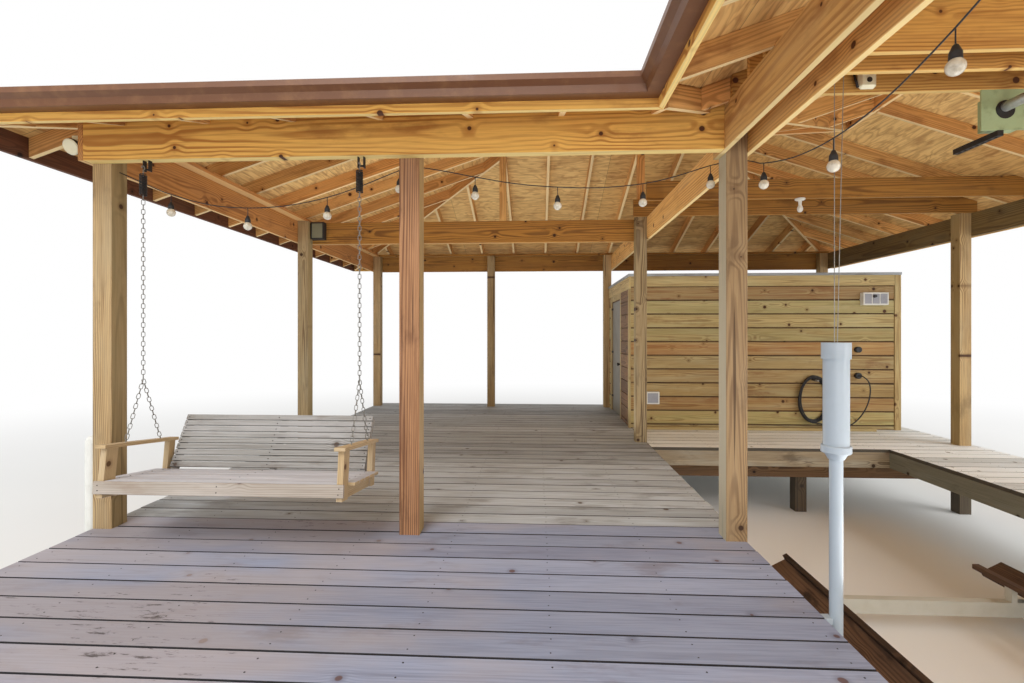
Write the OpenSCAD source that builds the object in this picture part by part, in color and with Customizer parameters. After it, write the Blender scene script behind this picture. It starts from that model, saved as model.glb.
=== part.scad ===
// Open-sided boathouse on piles: a roofed deck wing, an L-shaped hip roof,
// a boat slip with a lift, a finger pier, a storage shed and a porch swing.
// Millimetres. +X along the wing's front beam, +Y from open water to shore,
// +Z up. Origin: middle of the roof's plan, at the level of the piles' feet.

/* [Plan] */
// Spacing of the post rows, front face to front face
bay = 3050; // [2600:10:3300]
// Width of the deck wing over its outer post faces
wing_w = 4556; // [3600:4:5200]
// Clear width between the posts on both sides of the slip
slip_w = 3820; // [3400:10:4400]
// Width of the finger pier beside the slip
pier_w = 1220; // [900:10:1500]
// Pier edge outside the right-hand posts
pier_lip = 70; // [40:5:150]
// Deck edge in front of the first post row
deck_nose = 100; // [60:5:300]
// Deck edge behind the last post row
deck_tail = 260; // [180:5:500]
// Depth of the walkway between the slip and the shed
walk_d = 1260; // [900:10:1500]
// Depth of the darker front deck behind the third post row
front_deck_d = 240; // [180:5:900]

/* [Levels] */
// Deck surface above the piles' feet
deck_h = 850; // [700:5:1400]
// Underside of the beams above the deck
beam_clear = 2590; // [2300:5:2900]
// Lower edge of the fascia above the deck
eave_clear = 2690; // [2660:1:2700]
// Roof rise over a run of twelve
pitch_rise = 4; // [3:0.5:5]

/* [Overhangs] */
// Left eave, from the posts' outer face
over_left = 680; // [560:5:690]
// Shore-side eave
over_back = 640; // [500:5:680]
// Right eave
over_right = 560; // [400:5:570]
// Front eave of the deck wing
over_front = 480; // [360:5:560]
// Eave of the slip wing over the open deck
over_slip = 560; // [400:5:570]
// Eave at the open-water end
over_water = 560; // [400:5:570]
// Roof edge past the fascia
drip = 30; // [15:1:45]

/* [Timber] */
// Square post side
post_w = 140; // [120:1:160]
// Thickness of sawn planks
plank_t = 38; // [32:1:45]
// Depth of the main beams
beam_d = 286; // [235:1:290]
// Depth of rafters
rafter_d = 140; // [120:1:150]
// Depth of ridge boards, hip rafters and the valley rafter
ridge_d = 140; // [120:1:184]
// Depth of the lighter cross ties
tie_d = 215; // [184:1:286]
// Depth of joists and girders
joist_d = 184; // [140:1:240]
// Rafter spacing
rafter_gap = 605; // [400:5:620]
// Thickness of the roof skin, measured upright
roof_t = 26; // [20:1:40]
// Side of the king posts
king_w = 89; // [80:1:100]

/* [Shed] */
// Height of the shed's walls above the deck
shed_h = 2230; // [2050:5:2300]
// Thickness of the shed's walls
wall_t = 100; // [80:1:130]
// Thickness of the shed's top and its cap
top_t = 38; // [30:1:60]
// Door leaf width
door_w = 914; // [760:1:960]
// Door leaf height
door_h = 1930; // [1850:1:1980]
// Door leaf thickness
door_t = 35; // [30:1:45]
// Running gap round the door leaf
door_gap = 5; // [5:0.5:8]
// Casing board width
casing_w = 89; // [60:1:110]
// Casing board thickness
casing_t = 19; // [15:1:24]

/* [Swing] */
// Length of the seat's slats
bench_w = 1650; // [1400:5:1750]
// Width of one seat slat
seat_slat_w = 86; // [60:1:100]
// Number of seat slats
seat_slats = 5; // [4:1:6]
// Width of one slat of the backrest
slat_w = 38; // [30:1:45]
// Number of slats of the backrest
back_slats = 9; // [6:1:10]
// Slat thickness
slat_t = 19; // [15:1:22]
// Seat's rear edge above the deck
seat_h = 400; // [360:5:480]
// Tilt of the seat
seat_tilt = 7; // [0:0.5:10]
// Lean of the backrest against the seat
back_lean = 22; // [10:1:28]

/* [Boat lift] */
// Length of the bunk planks
bunk_l = 3900; // [3000:10:4500]
// Distance between the bunk planks
bunk_gap = 1530; // [1200:10:1800]
// Top of the bunks above the piles' feet
bunk_h = 350; // [300:5:600]
// Wire rope diameter
rope_d = 8; // [6:1:12]
// Winding pipe diameter
wind_d = 60; // [48:1:76]
// Guide pipe, wide upper diameter
guide_d = 114; // [90:1:125]
// Guide pipe, narrow lower diameter
guide_low_d = 60; // [48:1:75]

/* [Lights] */
// Thickness of the string lights' cord
cord_d = 7; // [5:0.5:8]
// Diameter of the string lights' bulbs
bulb_d = 56; // [40:1:60]

/* [Gutter] */
// Width of the gutter at its top
gutter_w = 125; // [100:1:140]
// Height of the gutter
gutter_h = 98; // [80:1:110]
// Thickness of the gutter's wall
gutter_t = 3; // [2:0.5:5]

/* [Hidden] */

// Colours
pine = [0.78, 0.58, 0.33];
green_pine = [0.72, 0.64, 0.44];
rafter_tan = [0.74, 0.50, 0.28];
grey_deck = [0.66, 0.63, 0.58];
mauve_deck = [0.56, 0.52, 0.54];
brown = [0.30, 0.18, 0.13];
shingle = [0.36, 0.28, 0.23];
steel = [0.62, 0.64, 0.65];
pvc = [0.92, 0.93, 0.93];
gear_green = [0.52, 0.60, 0.42];
rubber = [0.10, 0.10, 0.11];

// Post rows count from the open water: 0 and 1 flank the slip only,
// 2 to 4 also carry the deck wing.
rows = 4;
slope = pitch_rise / 12;
roof_w = over_left + wing_w + slip_w + post_w + over_right;
roof_l = over_water + rows * bay + post_w + over_back;
x_eave_left = -roof_w / 2;
x_eave_right = roof_w / 2;
y_eave_water = -roof_l / 2;
y_eave_back = roof_l / 2;
x_left = x_eave_left + over_left;
x_slip = x_left + wing_w;
x_right = x_slip + slip_w;
x_eave_slip = x_slip - post_w - over_slip;
function row_y(i) = y_eave_water + over_water + i * bay;
y_eave_front = row_y(2) - over_front;

// Hip runs: half the depth of the main roof, half the width of the slip wing
main_run = (y_eave_back - y_eave_front) / 2;
slip_run = (x_eave_right - x_eave_slip) / 2;
y_ridge = y_eave_front + main_run;
x_ridge = x_eave_slip + slip_run;
y_join = y_eave_front + slip_run;

// Heights of the rafters' lower and upper planes at a run u from the eave
rafter_v = rafter_d * sqrt(1 + slope * slope);
z_eave = deck_h + eave_clear;
function z_low(u) = z_eave + slope * u;
function z_high(u) = z_low(u) + rafter_v;

z_beam = deck_h + beam_clear;
z_beam_top = z_beam + beam_d;
z_plate_top = z_beam_top + plank_t;
z_joist = deck_h - plank_t - joist_d;
z_girder = z_joist - joist_d;
half_t = plank_t / 2;
// Clearance between pieces that rest on one another
seat = 0.3;
// Plan offset, along an eave, of a plank's face from a diagonal through its middle
diag = (half_t + 0.3) * sqrt(2);
reach = roof_l + roof_w;

// Deck limits
y_deck_front = row_y(0) - deck_nose;
y_deck_back = row_y(rows) + post_w + deck_tail;
y_front_end = row_y(2) + front_deck_d;
x_pier_right = x_right + post_w + pier_lip;
x_pier_left = x_pier_right - pier_w;
x_mid_post = x_left + wing_w / 2 - post_w / 2;
post_play = 3;

// Shed limits
shed_back_y = row_y(rows) - 10;
walk_y = row_y(3) - 250;
shed_y = walk_y + walk_d;
shed_x = x_slip - 20;
shed_x2 = x_right - 10;

// Door: hinged on its shore-side edge, opening over the deck
barrel_r = 7;
pin_r = 4;
pin_play = 0.3;
reveal = 12;
door_y2 = shed_back_y - wall_t - 170;
pin_x = shed_x - barrel_r - 1;
pin_y = door_y2 + 4;
leaf_x = shed_x + 4;
door_y1 = door_y2 - door_w;
open_y1 = pin_y - sqrt(pow(pin_y - door_y1, 2) + pow(leaf_x + door_t - pin_x, 2)) - door_gap;
open_y2 = door_y2 + door_gap;
open_h = door_h + 12 + door_gap;
hinge_l = 96;
hinge_z = [deck_h + 220, deck_h + door_h - 920, deck_h + door_h - 150];

// Swing: hung from the front beam on a crosswise pin at each end
swing_x = (x_left + post_w + x_mid_post) / 2 + 24;
swing_y = row_y(2) - plank_t;
pin_drop = 60;
swing_z = z_beam - pin_drop;
// Hangers stand in from the seat's ends
hang_gap = bench_w - 130;
hang_x = [swing_x - hang_gap / 2, swing_x + hang_gap / 2];
seat_y = swing_y + 160;
seat_z = deck_h + seat_h;
seat_d = seat_slats * (seat_slat_w + 8) - 8;
arm_up = 222;
arm_front = -570;
arm_back = 75;
split_z = seat_z + 670;

// Boat lift
slip_x1 = x_slip;
slip_x2 = x_pier_left;
lift_x = (slip_x1 + slip_x2) / 2;
lift_y2 = row_y(2) + over_front + 400;
lift_y1 = lift_y2 - bunk_l;
cradle_y = [lift_y2 - 340, lift_y1 + 340];
cradle_d = 110;
cradle_w = 60;
rope_x = [slip_x1 + 170, slip_x2 - 100];
wind_x = lift_x + 50;
z_wind = z_beam_top - 108;
plate_y = row_y(2) - 202;
z_sheave = z_beam + 60;
z_rafter_sheave = z_low(x_eave_right - rope_x[1]) - 80;
guide_x = x_slip + 66;
guide_y = row_y(2) - 870;
// Heights above the deck where the guide pipe widens, and of its top
guide_neck = 770;
guide_top = 1340;

// Bunk planks: stock width, tilt towards the deck, and the risers under them
bunk_w = 184;
bunk_tilt = 28;
bunk_x = [lift_x - bunk_gap / 2 - 90, lift_x + bunk_gap / 2 + 72];
batten = 38;

// Basic pieces

// Upright square timber with its left front corner at x, y
module upright(x, y, z1, z2, w = post_w) {
    translate([x, y, z1]) cube([w, w, z2 - z1]);
}

// Block between two opposite corners
module block(a, b) {
    translate(a) cube(b - a);
}

// Vertical prism over a plan outline
module over_plan(outline) {
    translate([0, 0, -1]) linear_extrude(height = z_eave + reach) polygon(outline);
}

// A profile in run and height, drawn out along an eave from lo to hi.
// The run counts inwards from the eave at coordinate "at".
module along_eave(side, at, lo, hi) {
    if (side == "left")
        translate([at, hi, 0]) rotate([90, 0, 0]) linear_extrude(height = hi - lo) children();
    if (side == "right")
        translate([at, hi, 0]) mirror([1, 0, 0]) rotate([90, 0, 0]) linear_extrude(height = hi - lo) children();
    if (side == "front")
        translate([lo, at, 0]) rotate([90, 0, 90]) linear_extrude(height = hi - lo) children();
    if (side == "back")
        translate([lo, at, 0]) mirror([0, 1, 0]) rotate([90, 0, 90]) linear_extrude(height = hi - lo) children();
}

// Plan outlines of the slopes: e is the run where the outline starts,
// g the setback at hips and the valley, r the setback at ridges.
function plan_left(e, g) = [
    [x_eave_left + e, y_eave_front + e + g],
    [x_eave_left + e, y_eave_back - e - g],
    [x_eave_left + main_run - g, y_ridge]];
function plan_front(e, g, r) = [
    [x_eave_left + e + g, y_eave_front + e],
    [x_eave_slip + e - g, y_eave_front + e],
    [x_ridge - g, y_join],
    [x_eave_right - main_run + r - g, y_ridge - r],
    [x_eave_left + main_run - r + g, y_ridge - r]];
function plan_back(e, g, r) = [
    [x_eave_left + e + g, y_eave_back - e],
    [x_eave_right - e - g, y_eave_back - e],
    [x_eave_right - main_run + r - g, y_ridge + r],
    [x_eave_left + main_run - r + g, y_ridge + r]];
function plan_right(e, g) = [
    [x_eave_right - e, y_join],
    [x_eave_right - e, y_eave_back - e - g],
    [x_eave_right - main_run + g, y_ridge],
    [x_ridge, y_join + g],
    [x_ridge, y_join]];
function plan_slip_left(e, g, r) = [
    [x_eave_slip + e, y_eave_water + e + g],
    [x_ridge - r, y_eave_water + slip_run - r + g],
    [x_ridge - r, y_join - r - g],
    [x_eave_slip + e, y_eave_front + e - g]];
function plan_slip_right(e, g, r) = [
    [x_eave_right - e, y_eave_water + e + g],
    [x_eave_right - e, y_join],
    [x_ridge + r, y_join],
    [x_ridge + r, y_eave_water + slip_run - r + g]];
function plan_water(e, g) = [
    [x_eave_slip + e + g, y_eave_water + e],
    [x_eave_right - e - g, y_eave_water + e],
    [x_ridge, y_eave_water + slip_run - g]];

// Rafter outline in run and height, notched over a seat at run u_seat
function rafter_outline(u_end, u_seat, z_seat) = let (z_cut = max(z_seat, z_low(u_seat)))
    [[plank_t, z_low(plank_t)], [u_seat, z_low(u_seat)], [u_seat, z_cut],
    [(z_cut - z_eave) / slope, z_cut], [u_end, z_low(u_end)],
    [u_end, z_high(u_end)], [plank_t, z_high(plank_t)]];

module rafters(side, at, middles, u_end, u_seat, z_seat) {
    for (m = middles)
        along_eave(side, at, m - half_t, m + half_t)
            polygon(rafter_outline(u_end, u_seat, z_seat));
}

// Rafter middles from one known place, kept between two limits
function middles(at, lo, hi) = [for (k = [-40:40])
    let (m = at + k * rafter_gap) if (m > lo && m < hi) m];

module skin(side, at, lo, hi, run) {
    along_eave(side, at, lo, hi)
        polygon([[-drip, z_high(-drip) + seat], [run, z_high(run) + seat],
            [run, z_high(run) + roof_t], [-drip, z_high(-drip) + roof_t]]);
}

module fascia_board(side, at, lo, hi) {
    along_eave(side, at, lo, hi)
        polygon([[0, z_low(0)], [plank_t, z_low(0)], [plank_t, z_high(plank_t)], [0, z_high(0)]]);
}

module gutter_run(side, at, lo, hi) {
    top = z_eave + 150;
    foot = top - gutter_h;
    along_eave(side, at, lo, hi)
        polygon([[0, foot], [0, top - 18], [-gutter_t, top - 18], [-gutter_t, foot + gutter_t],
            [-gutter_w * 0.62, foot + gutter_t], [-gutter_w * 0.72, foot + gutter_h * 0.42],
            [-gutter_w + gutter_t, foot + gutter_h * 0.68], [-gutter_w + gutter_t, top],
            [-gutter_w, top], [-gutter_w, foot + gutter_h * 0.66],
            [-gutter_w * 0.76, foot + gutter_h * 0.4], [-gutter_w * 0.66, foot]]);
}

// Posts and piles
module deck_posts() {
    color(green_pine) {
        for (i = [2, 3, 4]) upright(x_left, row_y(i), 0, z_beam_top);
        for (i = [2, 4]) upright(x_mid_post, row_y(i), 0, z_beam_top);
    }
}

module slip_left_posts() {
    color(green_pine)
        for (i = [0:rows]) upright(x_slip - post_w, row_y(i), 0, z_beam_top + (i == 3 ? tie_d : 0));
}

module slip_right_posts() {
    color(green_pine)
        for (i = [0:rows]) upright(x_right, row_y(i), 0, z_beam_top);
}

module short_piles() {
    color(green_pine) {
        for (i = [0, 1]) {
            upright(x_left, row_y(i), 0, z_joist);
            upright(x_mid_post, row_y(i), 0, z_joist);
        }
        upright(x_mid_post, row_y(3), 0, z_joist);
        for (i = [0:2]) upright(x_pier_left + 60, row_y(i), 0, z_joist);
        for (i = [3, 4]) upright((x_slip + x_right) / 2 - post_w / 2, row_y(i), 0, z_joist);
    }
}

// Deck surfaces, cut round the posts
module post_hole(x, y) {
    block([x - post_play, y - post_play, 0], [x + post_w + post_play, y + post_w + post_play, z_beam]);
}

module front_deck() {
    color(mauve_deck)
        difference() {
            block([x_left, y_deck_front, deck_h - plank_t], [x_slip, y_front_end, deck_h]);
            post_hole(x_left, row_y(2));
            post_hole(x_mid_post, row_y(2));
            for (i = [0:2]) post_hole(x_slip - post_w, row_y(i));
        }
}

module rear_deck() {
    color(grey_deck)
        difference() {
            block([x_left, y_front_end, deck_h - plank_t], [x_slip, y_deck_back, deck_h]);
            for (i = [3, 4]) {
                post_hole(x_left, row_y(i));
                post_hole(x_slip - post_w, row_y(i));
            }
            post_hole(x_mid_post, row_y(4));
        }
}

module walkway() {
    color(grey_deck)
        difference() {
            block([x_slip, walk_y, deck_h - plank_t], [x_pier_right, y_deck_back, deck_h]);
            for (i = [3, 4]) post_hole(x_right, row_y(i));
        }
}

module finger_pier() {
    color(grey_deck)
        difference() {
            block([x_pier_left, y_deck_front, deck_h - plank_t], [x_pier_right, walk_y, deck_h]);
            for (i = [0:2]) post_hole(x_right, row_y(i));
        }
}

// Framing under the decks
module deck_joists() {
    first = x_left + post_w;
    last = x_slip - post_w - plank_t;
    spans = 7;
    color(green_pine)
        for (k = [0:spans]) {
            x = first + k * (last - first) / spans;
            block([x, y_deck_front, z_joist], [x + plank_t, y_deck_back, z_joist + joist_d]);
        }
}

module pier_joists() {
    z2 = z_joist + joist_d;
    color(grey_deck) {
        for (x = [x_pier_left, x_right - plank_t, x_pier_right - plank_t])
            block([x, y_deck_front, z_joist], [x + plank_t, walk_y - seat, z2]);
        for (y = [walk_y, shed_y, shed_back_y - wall_t, y_deck_back - plank_t])
            block([x_slip, y, z_joist], [x_pier_right, y + plank_t, z2]);
    }
}

module deck_girders() {
    color(brown)
        for (i = [0:rows], y = [row_y(i) - plank_t, row_y(i) + post_w]) {
            wide = i > 2;
            block([x_left, y, z_girder], [wide ? x_pier_right : x_slip, y + plank_t, z_joist]);
            if (!wide) block([x_pier_left, y, z_girder], [x_pier_right, y + plank_t, z_joist]);
        }
}

// Beams on the posts' outer faces
module front_beam() {
    color(pine)
        block([x_left, row_y(2) - 2 * plank_t, z_beam],
            [x_slip - post_w - plank_t, row_y(2), z_beam_top]);
}

module mid_beam() {
    y = row_y(3) + post_w;
    color(pine) block([x_left, y, z_beam], [x_slip, y + 2 * plank_t, z_beam_top]);
}

module back_beam() {
    y = row_y(rows) + post_w;
    color(pine) {
        block([x_left, y, z_beam], [x_right + post_w, y + plank_t, z_beam_top]);
        block([x_left - plank_t, y + plank_t - post_w, z_beam_top + seat],
            [x_right + post_w + plank_t, y + plank_t, z_plate_top]);
    }
}

module left_beam() {
    y2 = row_y(rows) + post_w + plank_t;
    color(pine) {
        block([x_left - plank_t, row_y(2) - 2 * plank_t, z_beam], [x_left, y2, z_beam_top]);
        block([x_left - plank_t, row_y(2) - 2 * plank_t, z_beam_top + seat],
            [x_left - plank_t + post_w, y2 - post_w, z_plate_top]);
    }
}

module slip_beams() {
    y1 = row_y(0);
    color(pine) {
        block([x_slip - post_w - plank_t, y1 + seat, z_beam],
            [x_slip - post_w, row_y(2) + post_w, z_beam_top]);
        block([x_slip, y1 + seat, z_beam], [x_slip + plank_t, row_y(rows) + post_w - seat, z_beam_top]);
        block([x_right + post_w, y1 + seat, z_beam],
            [x_right + post_w + plank_t, row_y(rows) + post_w + plank_t, z_beam_top]);
        block([x_slip - post_w - plank_t, y1 - plank_t, z_beam],
            [x_right + post_w + plank_t, y1, z_beam_top]);
    }
}

// Cross ties over the slip: their upper corners are cut under the roof skin
heavy_ties = [row_y(2) - 660, row_y(2) - 460, row_y(2) - 205, row_y(1) + 330, row_y(1) + 540];
light_ties = [row_y(2) + 2250, row_y(3) - plank_t];

module tie(y, depth, cut_left) {
    x1 = x_slip - post_w - plank_t;
    x2 = x_right + post_w + plank_t;
    top = z_beam_top + depth;
    run = (top - z_high(0)) / slope + 4;
    left_end = cut_left ?
        [[x_eave_slip + run, top], [x1, z_high(x1 - x_eave_slip) - 1]] : [[x1, top]];
    translate([0, y + plank_t, 0]) rotate([90, 0, 0]) linear_extrude(height = plank_t)
        polygon(concat([[x1, z_beam_top], [x2, z_beam_top], [x2, z_high(x_eave_right - x2) - 1],
            [x_eave_right - run, top]], left_end));
}

module slip_ties() {
    color(pine) {
        for (y = heavy_ties) tie(y, beam_d, true);
        for (y = light_ties) tie(y, tie_d, false);
    }
}

// Posts under the roof framing, on the middle beam and on a tall slip post
module king_posts() {
    u1 = main_run - 340;
    x1 = x_eave_left + u1;
    y1 = row_y(3) + post_w;
    x2 = x_slip - post_w + 30;
    y2 = row_y(3) + 30;
    color(green_pine) {
        upright(x1, y1, z_beam_top, z_low(u1), king_w);
        upright(x2, y2, z_beam_top + tie_d, z_low(y2 - y_eave_front), king_w);
    }
}

// Roof framing
module wing_rafters() {
    x_ref = x_slip - 30;
    color(rafter_tan) {
        intersection() {
            rafters("left", x_eave_left, middles(y_ridge, y_eave_front, y_eave_back),
                main_run, over_left - plank_t, z_plate_top);
            over_plan(plan_left(plank_t, diag));
        }
        intersection() {
            rafters("front", y_eave_front, middles(x_ref, x_eave_left, x_ridge),
                main_run, over_front - 2 * plank_t, z_beam_top);
            over_plan(plan_front(plank_t, diag, half_t));
        }
        intersection() {
            rafters("back", y_eave_back, middles(x_ref, x_eave_left, x_eave_right),
                main_run, over_back - plank_t, z_plate_top);
            over_plan(plan_back(plank_t, diag, half_t));
        }
        difference() {
            intersection() {
                rafters("right", x_eave_right, middles(y_ridge, y_join, y_eave_back),
                    main_run, over_right - plank_t, z_beam_top);
                over_plan(plan_right(plank_t, diag));
            }
            back_beam();
        }
    }
}

module slip_rafters() {
    y_ref = y_eave_front - 270;
    color(rafter_tan) {
        intersection() {
            rafters("left", x_eave_slip, middles(y_ref, y_eave_water, y_join),
                slip_run, over_slip - plank_t, z_beam_top);
            over_plan(plan_slip_left(plank_t, diag, half_t));
        }
        intersection() {
            rafters("right", x_eave_right, middles(y_ref, y_eave_water, y_join - half_t),
                slip_run, over_right - plank_t, z_beam_top);
            over_plan(plan_slip_right(plank_t, diag, half_t));
        }
        intersection() {
            rafters("front", y_eave_water, middles(x_ridge, x_eave_slip, x_eave_right),
                slip_run, over_water - plank_t, z_beam_top);
            over_plan(plan_water(plank_t, diag));
        }
    }
}

// A plank on edge over a diagonal, from run u1 to run u2 of its slopes
ridge_drop = slope * half_t;
module diagonal_rafter(x, y, turn, u1, u2) {
    k = sqrt(2);
    depth = ridge_d * sqrt(1 + slope * slope / 2);
    translate([x, y, 0]) rotate([0, 0, turn]) translate([0, half_t, 0]) rotate([90, 0, 0])
        linear_extrude(height = plank_t)
            polygon([[u1 * k, z_high(u1) - ridge_drop - depth], [u2 * k, z_high(u2) - ridge_drop - depth],
                [u2 * k, z_high(u2) - ridge_drop], [u1 * k, z_high(u1) - ridge_drop]]);
}

module hip_rafters() {
    foot = plank_t + half_t + 1;
    head = 2 * half_t;
    color(rafter_tan)
        difference() {
            union() {
                diagonal_rafter(x_eave_left, y_eave_front, 45, foot, main_run - head);
                diagonal_rafter(x_eave_left, y_eave_back, -45, foot, main_run - head);
                diagonal_rafter(x_eave_right, y_eave_back, -135, foot, main_run - head);
                diagonal_rafter(x_eave_right, y_eave_front, 135, slip_run + head, main_run - head);
                diagonal_rafter(x_eave_slip, y_eave_water, 45, foot, slip_run - head);
                diagonal_rafter(x_eave_right, y_eave_water, 135, foot, slip_run - head);
                diagonal_rafter(x_eave_slip, y_eave_front, 45, foot, slip_run - head);
            }
            front_beam();
            left_beam();
            back_beam();
            slip_beams();
            slip_left_posts();
            slip_right_posts();
        }
}

module ridge_boards() {
    top = z_high(main_run) - ridge_drop;
    slip_top = z_high(slip_run) - ridge_drop;
    color(rafter_tan) {
        block([x_eave_left + main_run, y_ridge - half_t, top - ridge_d],
            [x_eave_right - main_run, y_ridge + half_t, top]);
        block([x_ridge - half_t, y_eave_water + slip_run, slip_top - ridge_d],
            [x_ridge + half_t, y_join, slip_top]);
    }
}

// Roof skin, one panel for each slope
module roof_left() {
    color(shingle) intersection() {
        skin("left", x_eave_left, y_eave_front - drip, y_eave_back + drip, main_run);
        over_plan(plan_left(-drip, 0));
    }
}

module roof_front() {
    color(shingle) intersection() {
        skin("front", y_eave_front, x_eave_left - drip, x_eave_right, main_run);
        over_plan(plan_front(-drip, 0, 0));
    }
}

module roof_back() {
    color(shingle) intersection() {
        skin("back", y_eave_back, x_eave_left - drip, x_eave_right + drip, main_run);
        over_plan(plan_back(-drip, 0, 0));
    }
}

module roof_right() {
    color(shingle) intersection() {
        skin("right", x_eave_right, y_join, y_eave_back + drip, main_run);
        over_plan(plan_right(-drip, 0));
    }
}

module slip_roof_left() {
    color(shingle) intersection() {
        skin("left", x_eave_slip, y_eave_water - drip, y_join, slip_run);
        over_plan(plan_slip_left(-drip, 0, 0));
    }
}

module slip_roof_right() {
    color(shingle) intersection() {
        skin("right", x_eave_right, y_eave_water - drip, y_join, slip_run);
        over_plan(plan_slip_right(-drip, 0, 0));
    }
}

module slip_roof_water() {
    color(shingle) intersection() {
        skin("front", y_eave_water, x_eave_slip - drip, x_eave_right + drip, slip_run);
        over_plan(plan_water(-drip, 0));
    }
}

// Eave trim, mitred at every corner
module fascia() {
    far = main_run;
    color(pine) {
        intersection() {
            fascia_board("left", x_eave_left, y_eave_front, y_eave_back);
            over_plan(plan_left(0, seat));
        }
        intersection() {
            fascia_board("front", y_eave_front, x_eave_left, x_eave_right);
            over_plan(plan_front(0, seat, 0));
        }
        intersection() {
            fascia_board("back", y_eave_back, x_eave_left, x_eave_right);
            over_plan(plan_back(0, seat, 0));
        }
        intersection() {
            fascia_board("right", x_eave_right, y_eave_water, y_eave_back);
            over_plan([[x_eave_right, y_eave_water + seat], [x_eave_right, y_eave_back - seat],
                [x_eave_right - far, y_eave_back - seat - far],
                [x_eave_right - far, y_eave_water + seat + far]]);
        }
        intersection() {
            fascia_board("left", x_eave_slip, y_eave_water, y_join);
            over_plan(plan_slip_left(0, seat, 0));
        }
        intersection() {
            fascia_board("front", y_eave_water, x_eave_slip, x_eave_right);
            over_plan(plan_water(0, seat));
        }
    }
}

module gutter() {
    w = gutter_w + 1;
    color(brown) {
        intersection() {
            gutter_run("front", y_eave_front, x_eave_left, x_eave_slip);
            over_plan([[x_eave_left, y_eave_front - w], [x_eave_slip - w, y_eave_front - w],
                [x_eave_slip, y_eave_front], [x_eave_left, y_eave_front]]);
        }
        intersection() {
            gutter_run("left", x_eave_slip, y_eave_water, y_eave_front);
            over_plan([[x_eave_slip - w, y_eave_water], [x_eave_slip, y_eave_water],
                [x_eave_slip, y_eave_front], [x_eave_slip - w, y_eave_front - w]]);
        }
    }
}

// Storage shed
z_shed = deck_h + shed_h;
module shed_front_wall() {
    color(pine) block([shed_x, shed_y, deck_h], [shed_x2, shed_y + wall_t, z_shed]);
}

module shed_back_wall() {
    color(pine) block([shed_x, shed_back_y - wall_t, deck_h], [shed_x2, shed_back_y, z_shed]);
}

module shed_right_wall() {
    color(pine)
        block([shed_x2 - wall_t, shed_y + wall_t, deck_h], [shed_x2, shed_back_y - wall_t, z_shed]);
}

module door_wall_near() {
    color(pine) block([shed_x, shed_y + wall_t, deck_h], [shed_x + wall_t, open_y1, z_shed]);
}

module door_wall_far() {
    color(pine) block([shed_x, open_y2, deck_h], [shed_x + wall_t, shed_back_y - wall_t, z_shed]);
}

module door_wall_over() {
    color(pine) block([shed_x, open_y1 + seat, deck_h + open_h], [shed_x + wall_t, open_y2 - seat, z_shed]);
}

module shed_top() {
    lip = 8;
    color(pine)
        block([shed_x - trim_t - lip, shed_y - trim_t - lip, z_shed],
            [shed_x2 + lip, shed_back_y + lip, z_shed + top_t]);
}

// Corner boards, the board over the door and a loose plank at the wall's foot
trim_t = 30;
module shed_trim() {
    z_over = deck_h + open_h + reveal + casing_w + seat;
    y1 = shed_y - trim_t;
    color(pine) {
        block([shed_x2 - casing_w, y1, deck_h], [shed_x2, shed_y - seat, z_shed - seat]);
        block([shed_x, y1, z_shed - 150], [shed_x2 - casing_w - seat, shed_y - seat, z_shed - seat]);
        block([shed_x - trim_t, y1, z_over], [shed_x - seat, shed_back_y, z_shed - seat]);
        block([shed_x - trim_t, y1, deck_h], [shed_x - seat, shed_y + 60, z_over - seat]);
        block([shed_x + 120, y1 - 110, deck_h + seat], [x_right - 420, y1 - 21, deck_h + plank_t]);
    }
}

module hinge_barrels(z, from, to, play) {
    translate([pin_x, pin_y, z + from]) difference() {
        cylinder(r = barrel_r, h = to - from, $fn = 32);
        if (play > 0) translate([0, 0, -1]) cylinder(r = pin_r + play, h = to - from + 2, $fn = 32);
    }
}

module door_casing() {
    x1 = shed_x - casing_t;
    y1 = open_y1 - reveal;
    y2 = open_y2 + reveal;
    z2 = deck_h + open_h + reveal;
    third = hinge_l / 3;
    color(grey_deck) {
        block([x1, y1 - casing_w, deck_h], [shed_x, y1, z2]);
        block([x1, y2, deck_h], [shed_x, y2 + casing_w, z2]);
        block([x1, y1 - casing_w, z2], [shed_x, y2 + casing_w, z2 + casing_w]);
    }
    color(steel)
        for (z = hinge_z) {
            hinge_barrels(z, 0, third - 1, 0);
            hinge_barrels(z, 2 * third + 1, hinge_l, 0);
            translate([pin_x, pin_y, z]) cylinder(r = pin_r, h = hinge_l, $fn = 32);
            for (a = [0, 2 * third + 1])
                block([pin_x, pin_y, z + a], [shed_x, y2 + 1, z + a + third - 1]);
        }
}

module shed_door() {
    color(grey_deck)
        block([leaf_x, door_y1, deck_h + 12], [leaf_x + door_t, door_y2, deck_h + 12 + door_h]);
}

module door_hardware() {
    third = hinge_l / 3;
    knob_y = door_y1 + 70;
    knob_z = deck_h + 880;
    color(steel) {
        for (z = hinge_z)
            difference() {
                union() {
                    hinge_barrels(z, third, 2 * third, 0);
                    block([pin_x, pin_y - 75, z + third], [leaf_x, pin_y - 5, z + 2 * third]);
                }
                translate([pin_x, pin_y, z]) cylinder(r = pin_r + pin_play, h = hinge_l, $fn = 32);
            }
        translate([leaf_x, knob_y, knob_z]) rotate([0, -90, 0]) rotate_extrude($fn = 48)
            polygon([[0, 0], [32, 0], [32, 5], [13, 8], [13, 26], [26, 34], [28, 46], [20, 57], [0, 59]]);
    }
}

// Porch swing
module swing_hangers() {
    color(steel)
        for (x = hang_x) {
            for (s = [-24, 16])
                block([x + s, swing_y - 14, swing_z - 14], [x + s + 8, swing_y + 14, z_beam]);
            translate([x - 24, swing_y, swing_z]) rotate([0, 90, 0]) cylinder(r = 7, h = 48, $fn = 32);
        }
}

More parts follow.
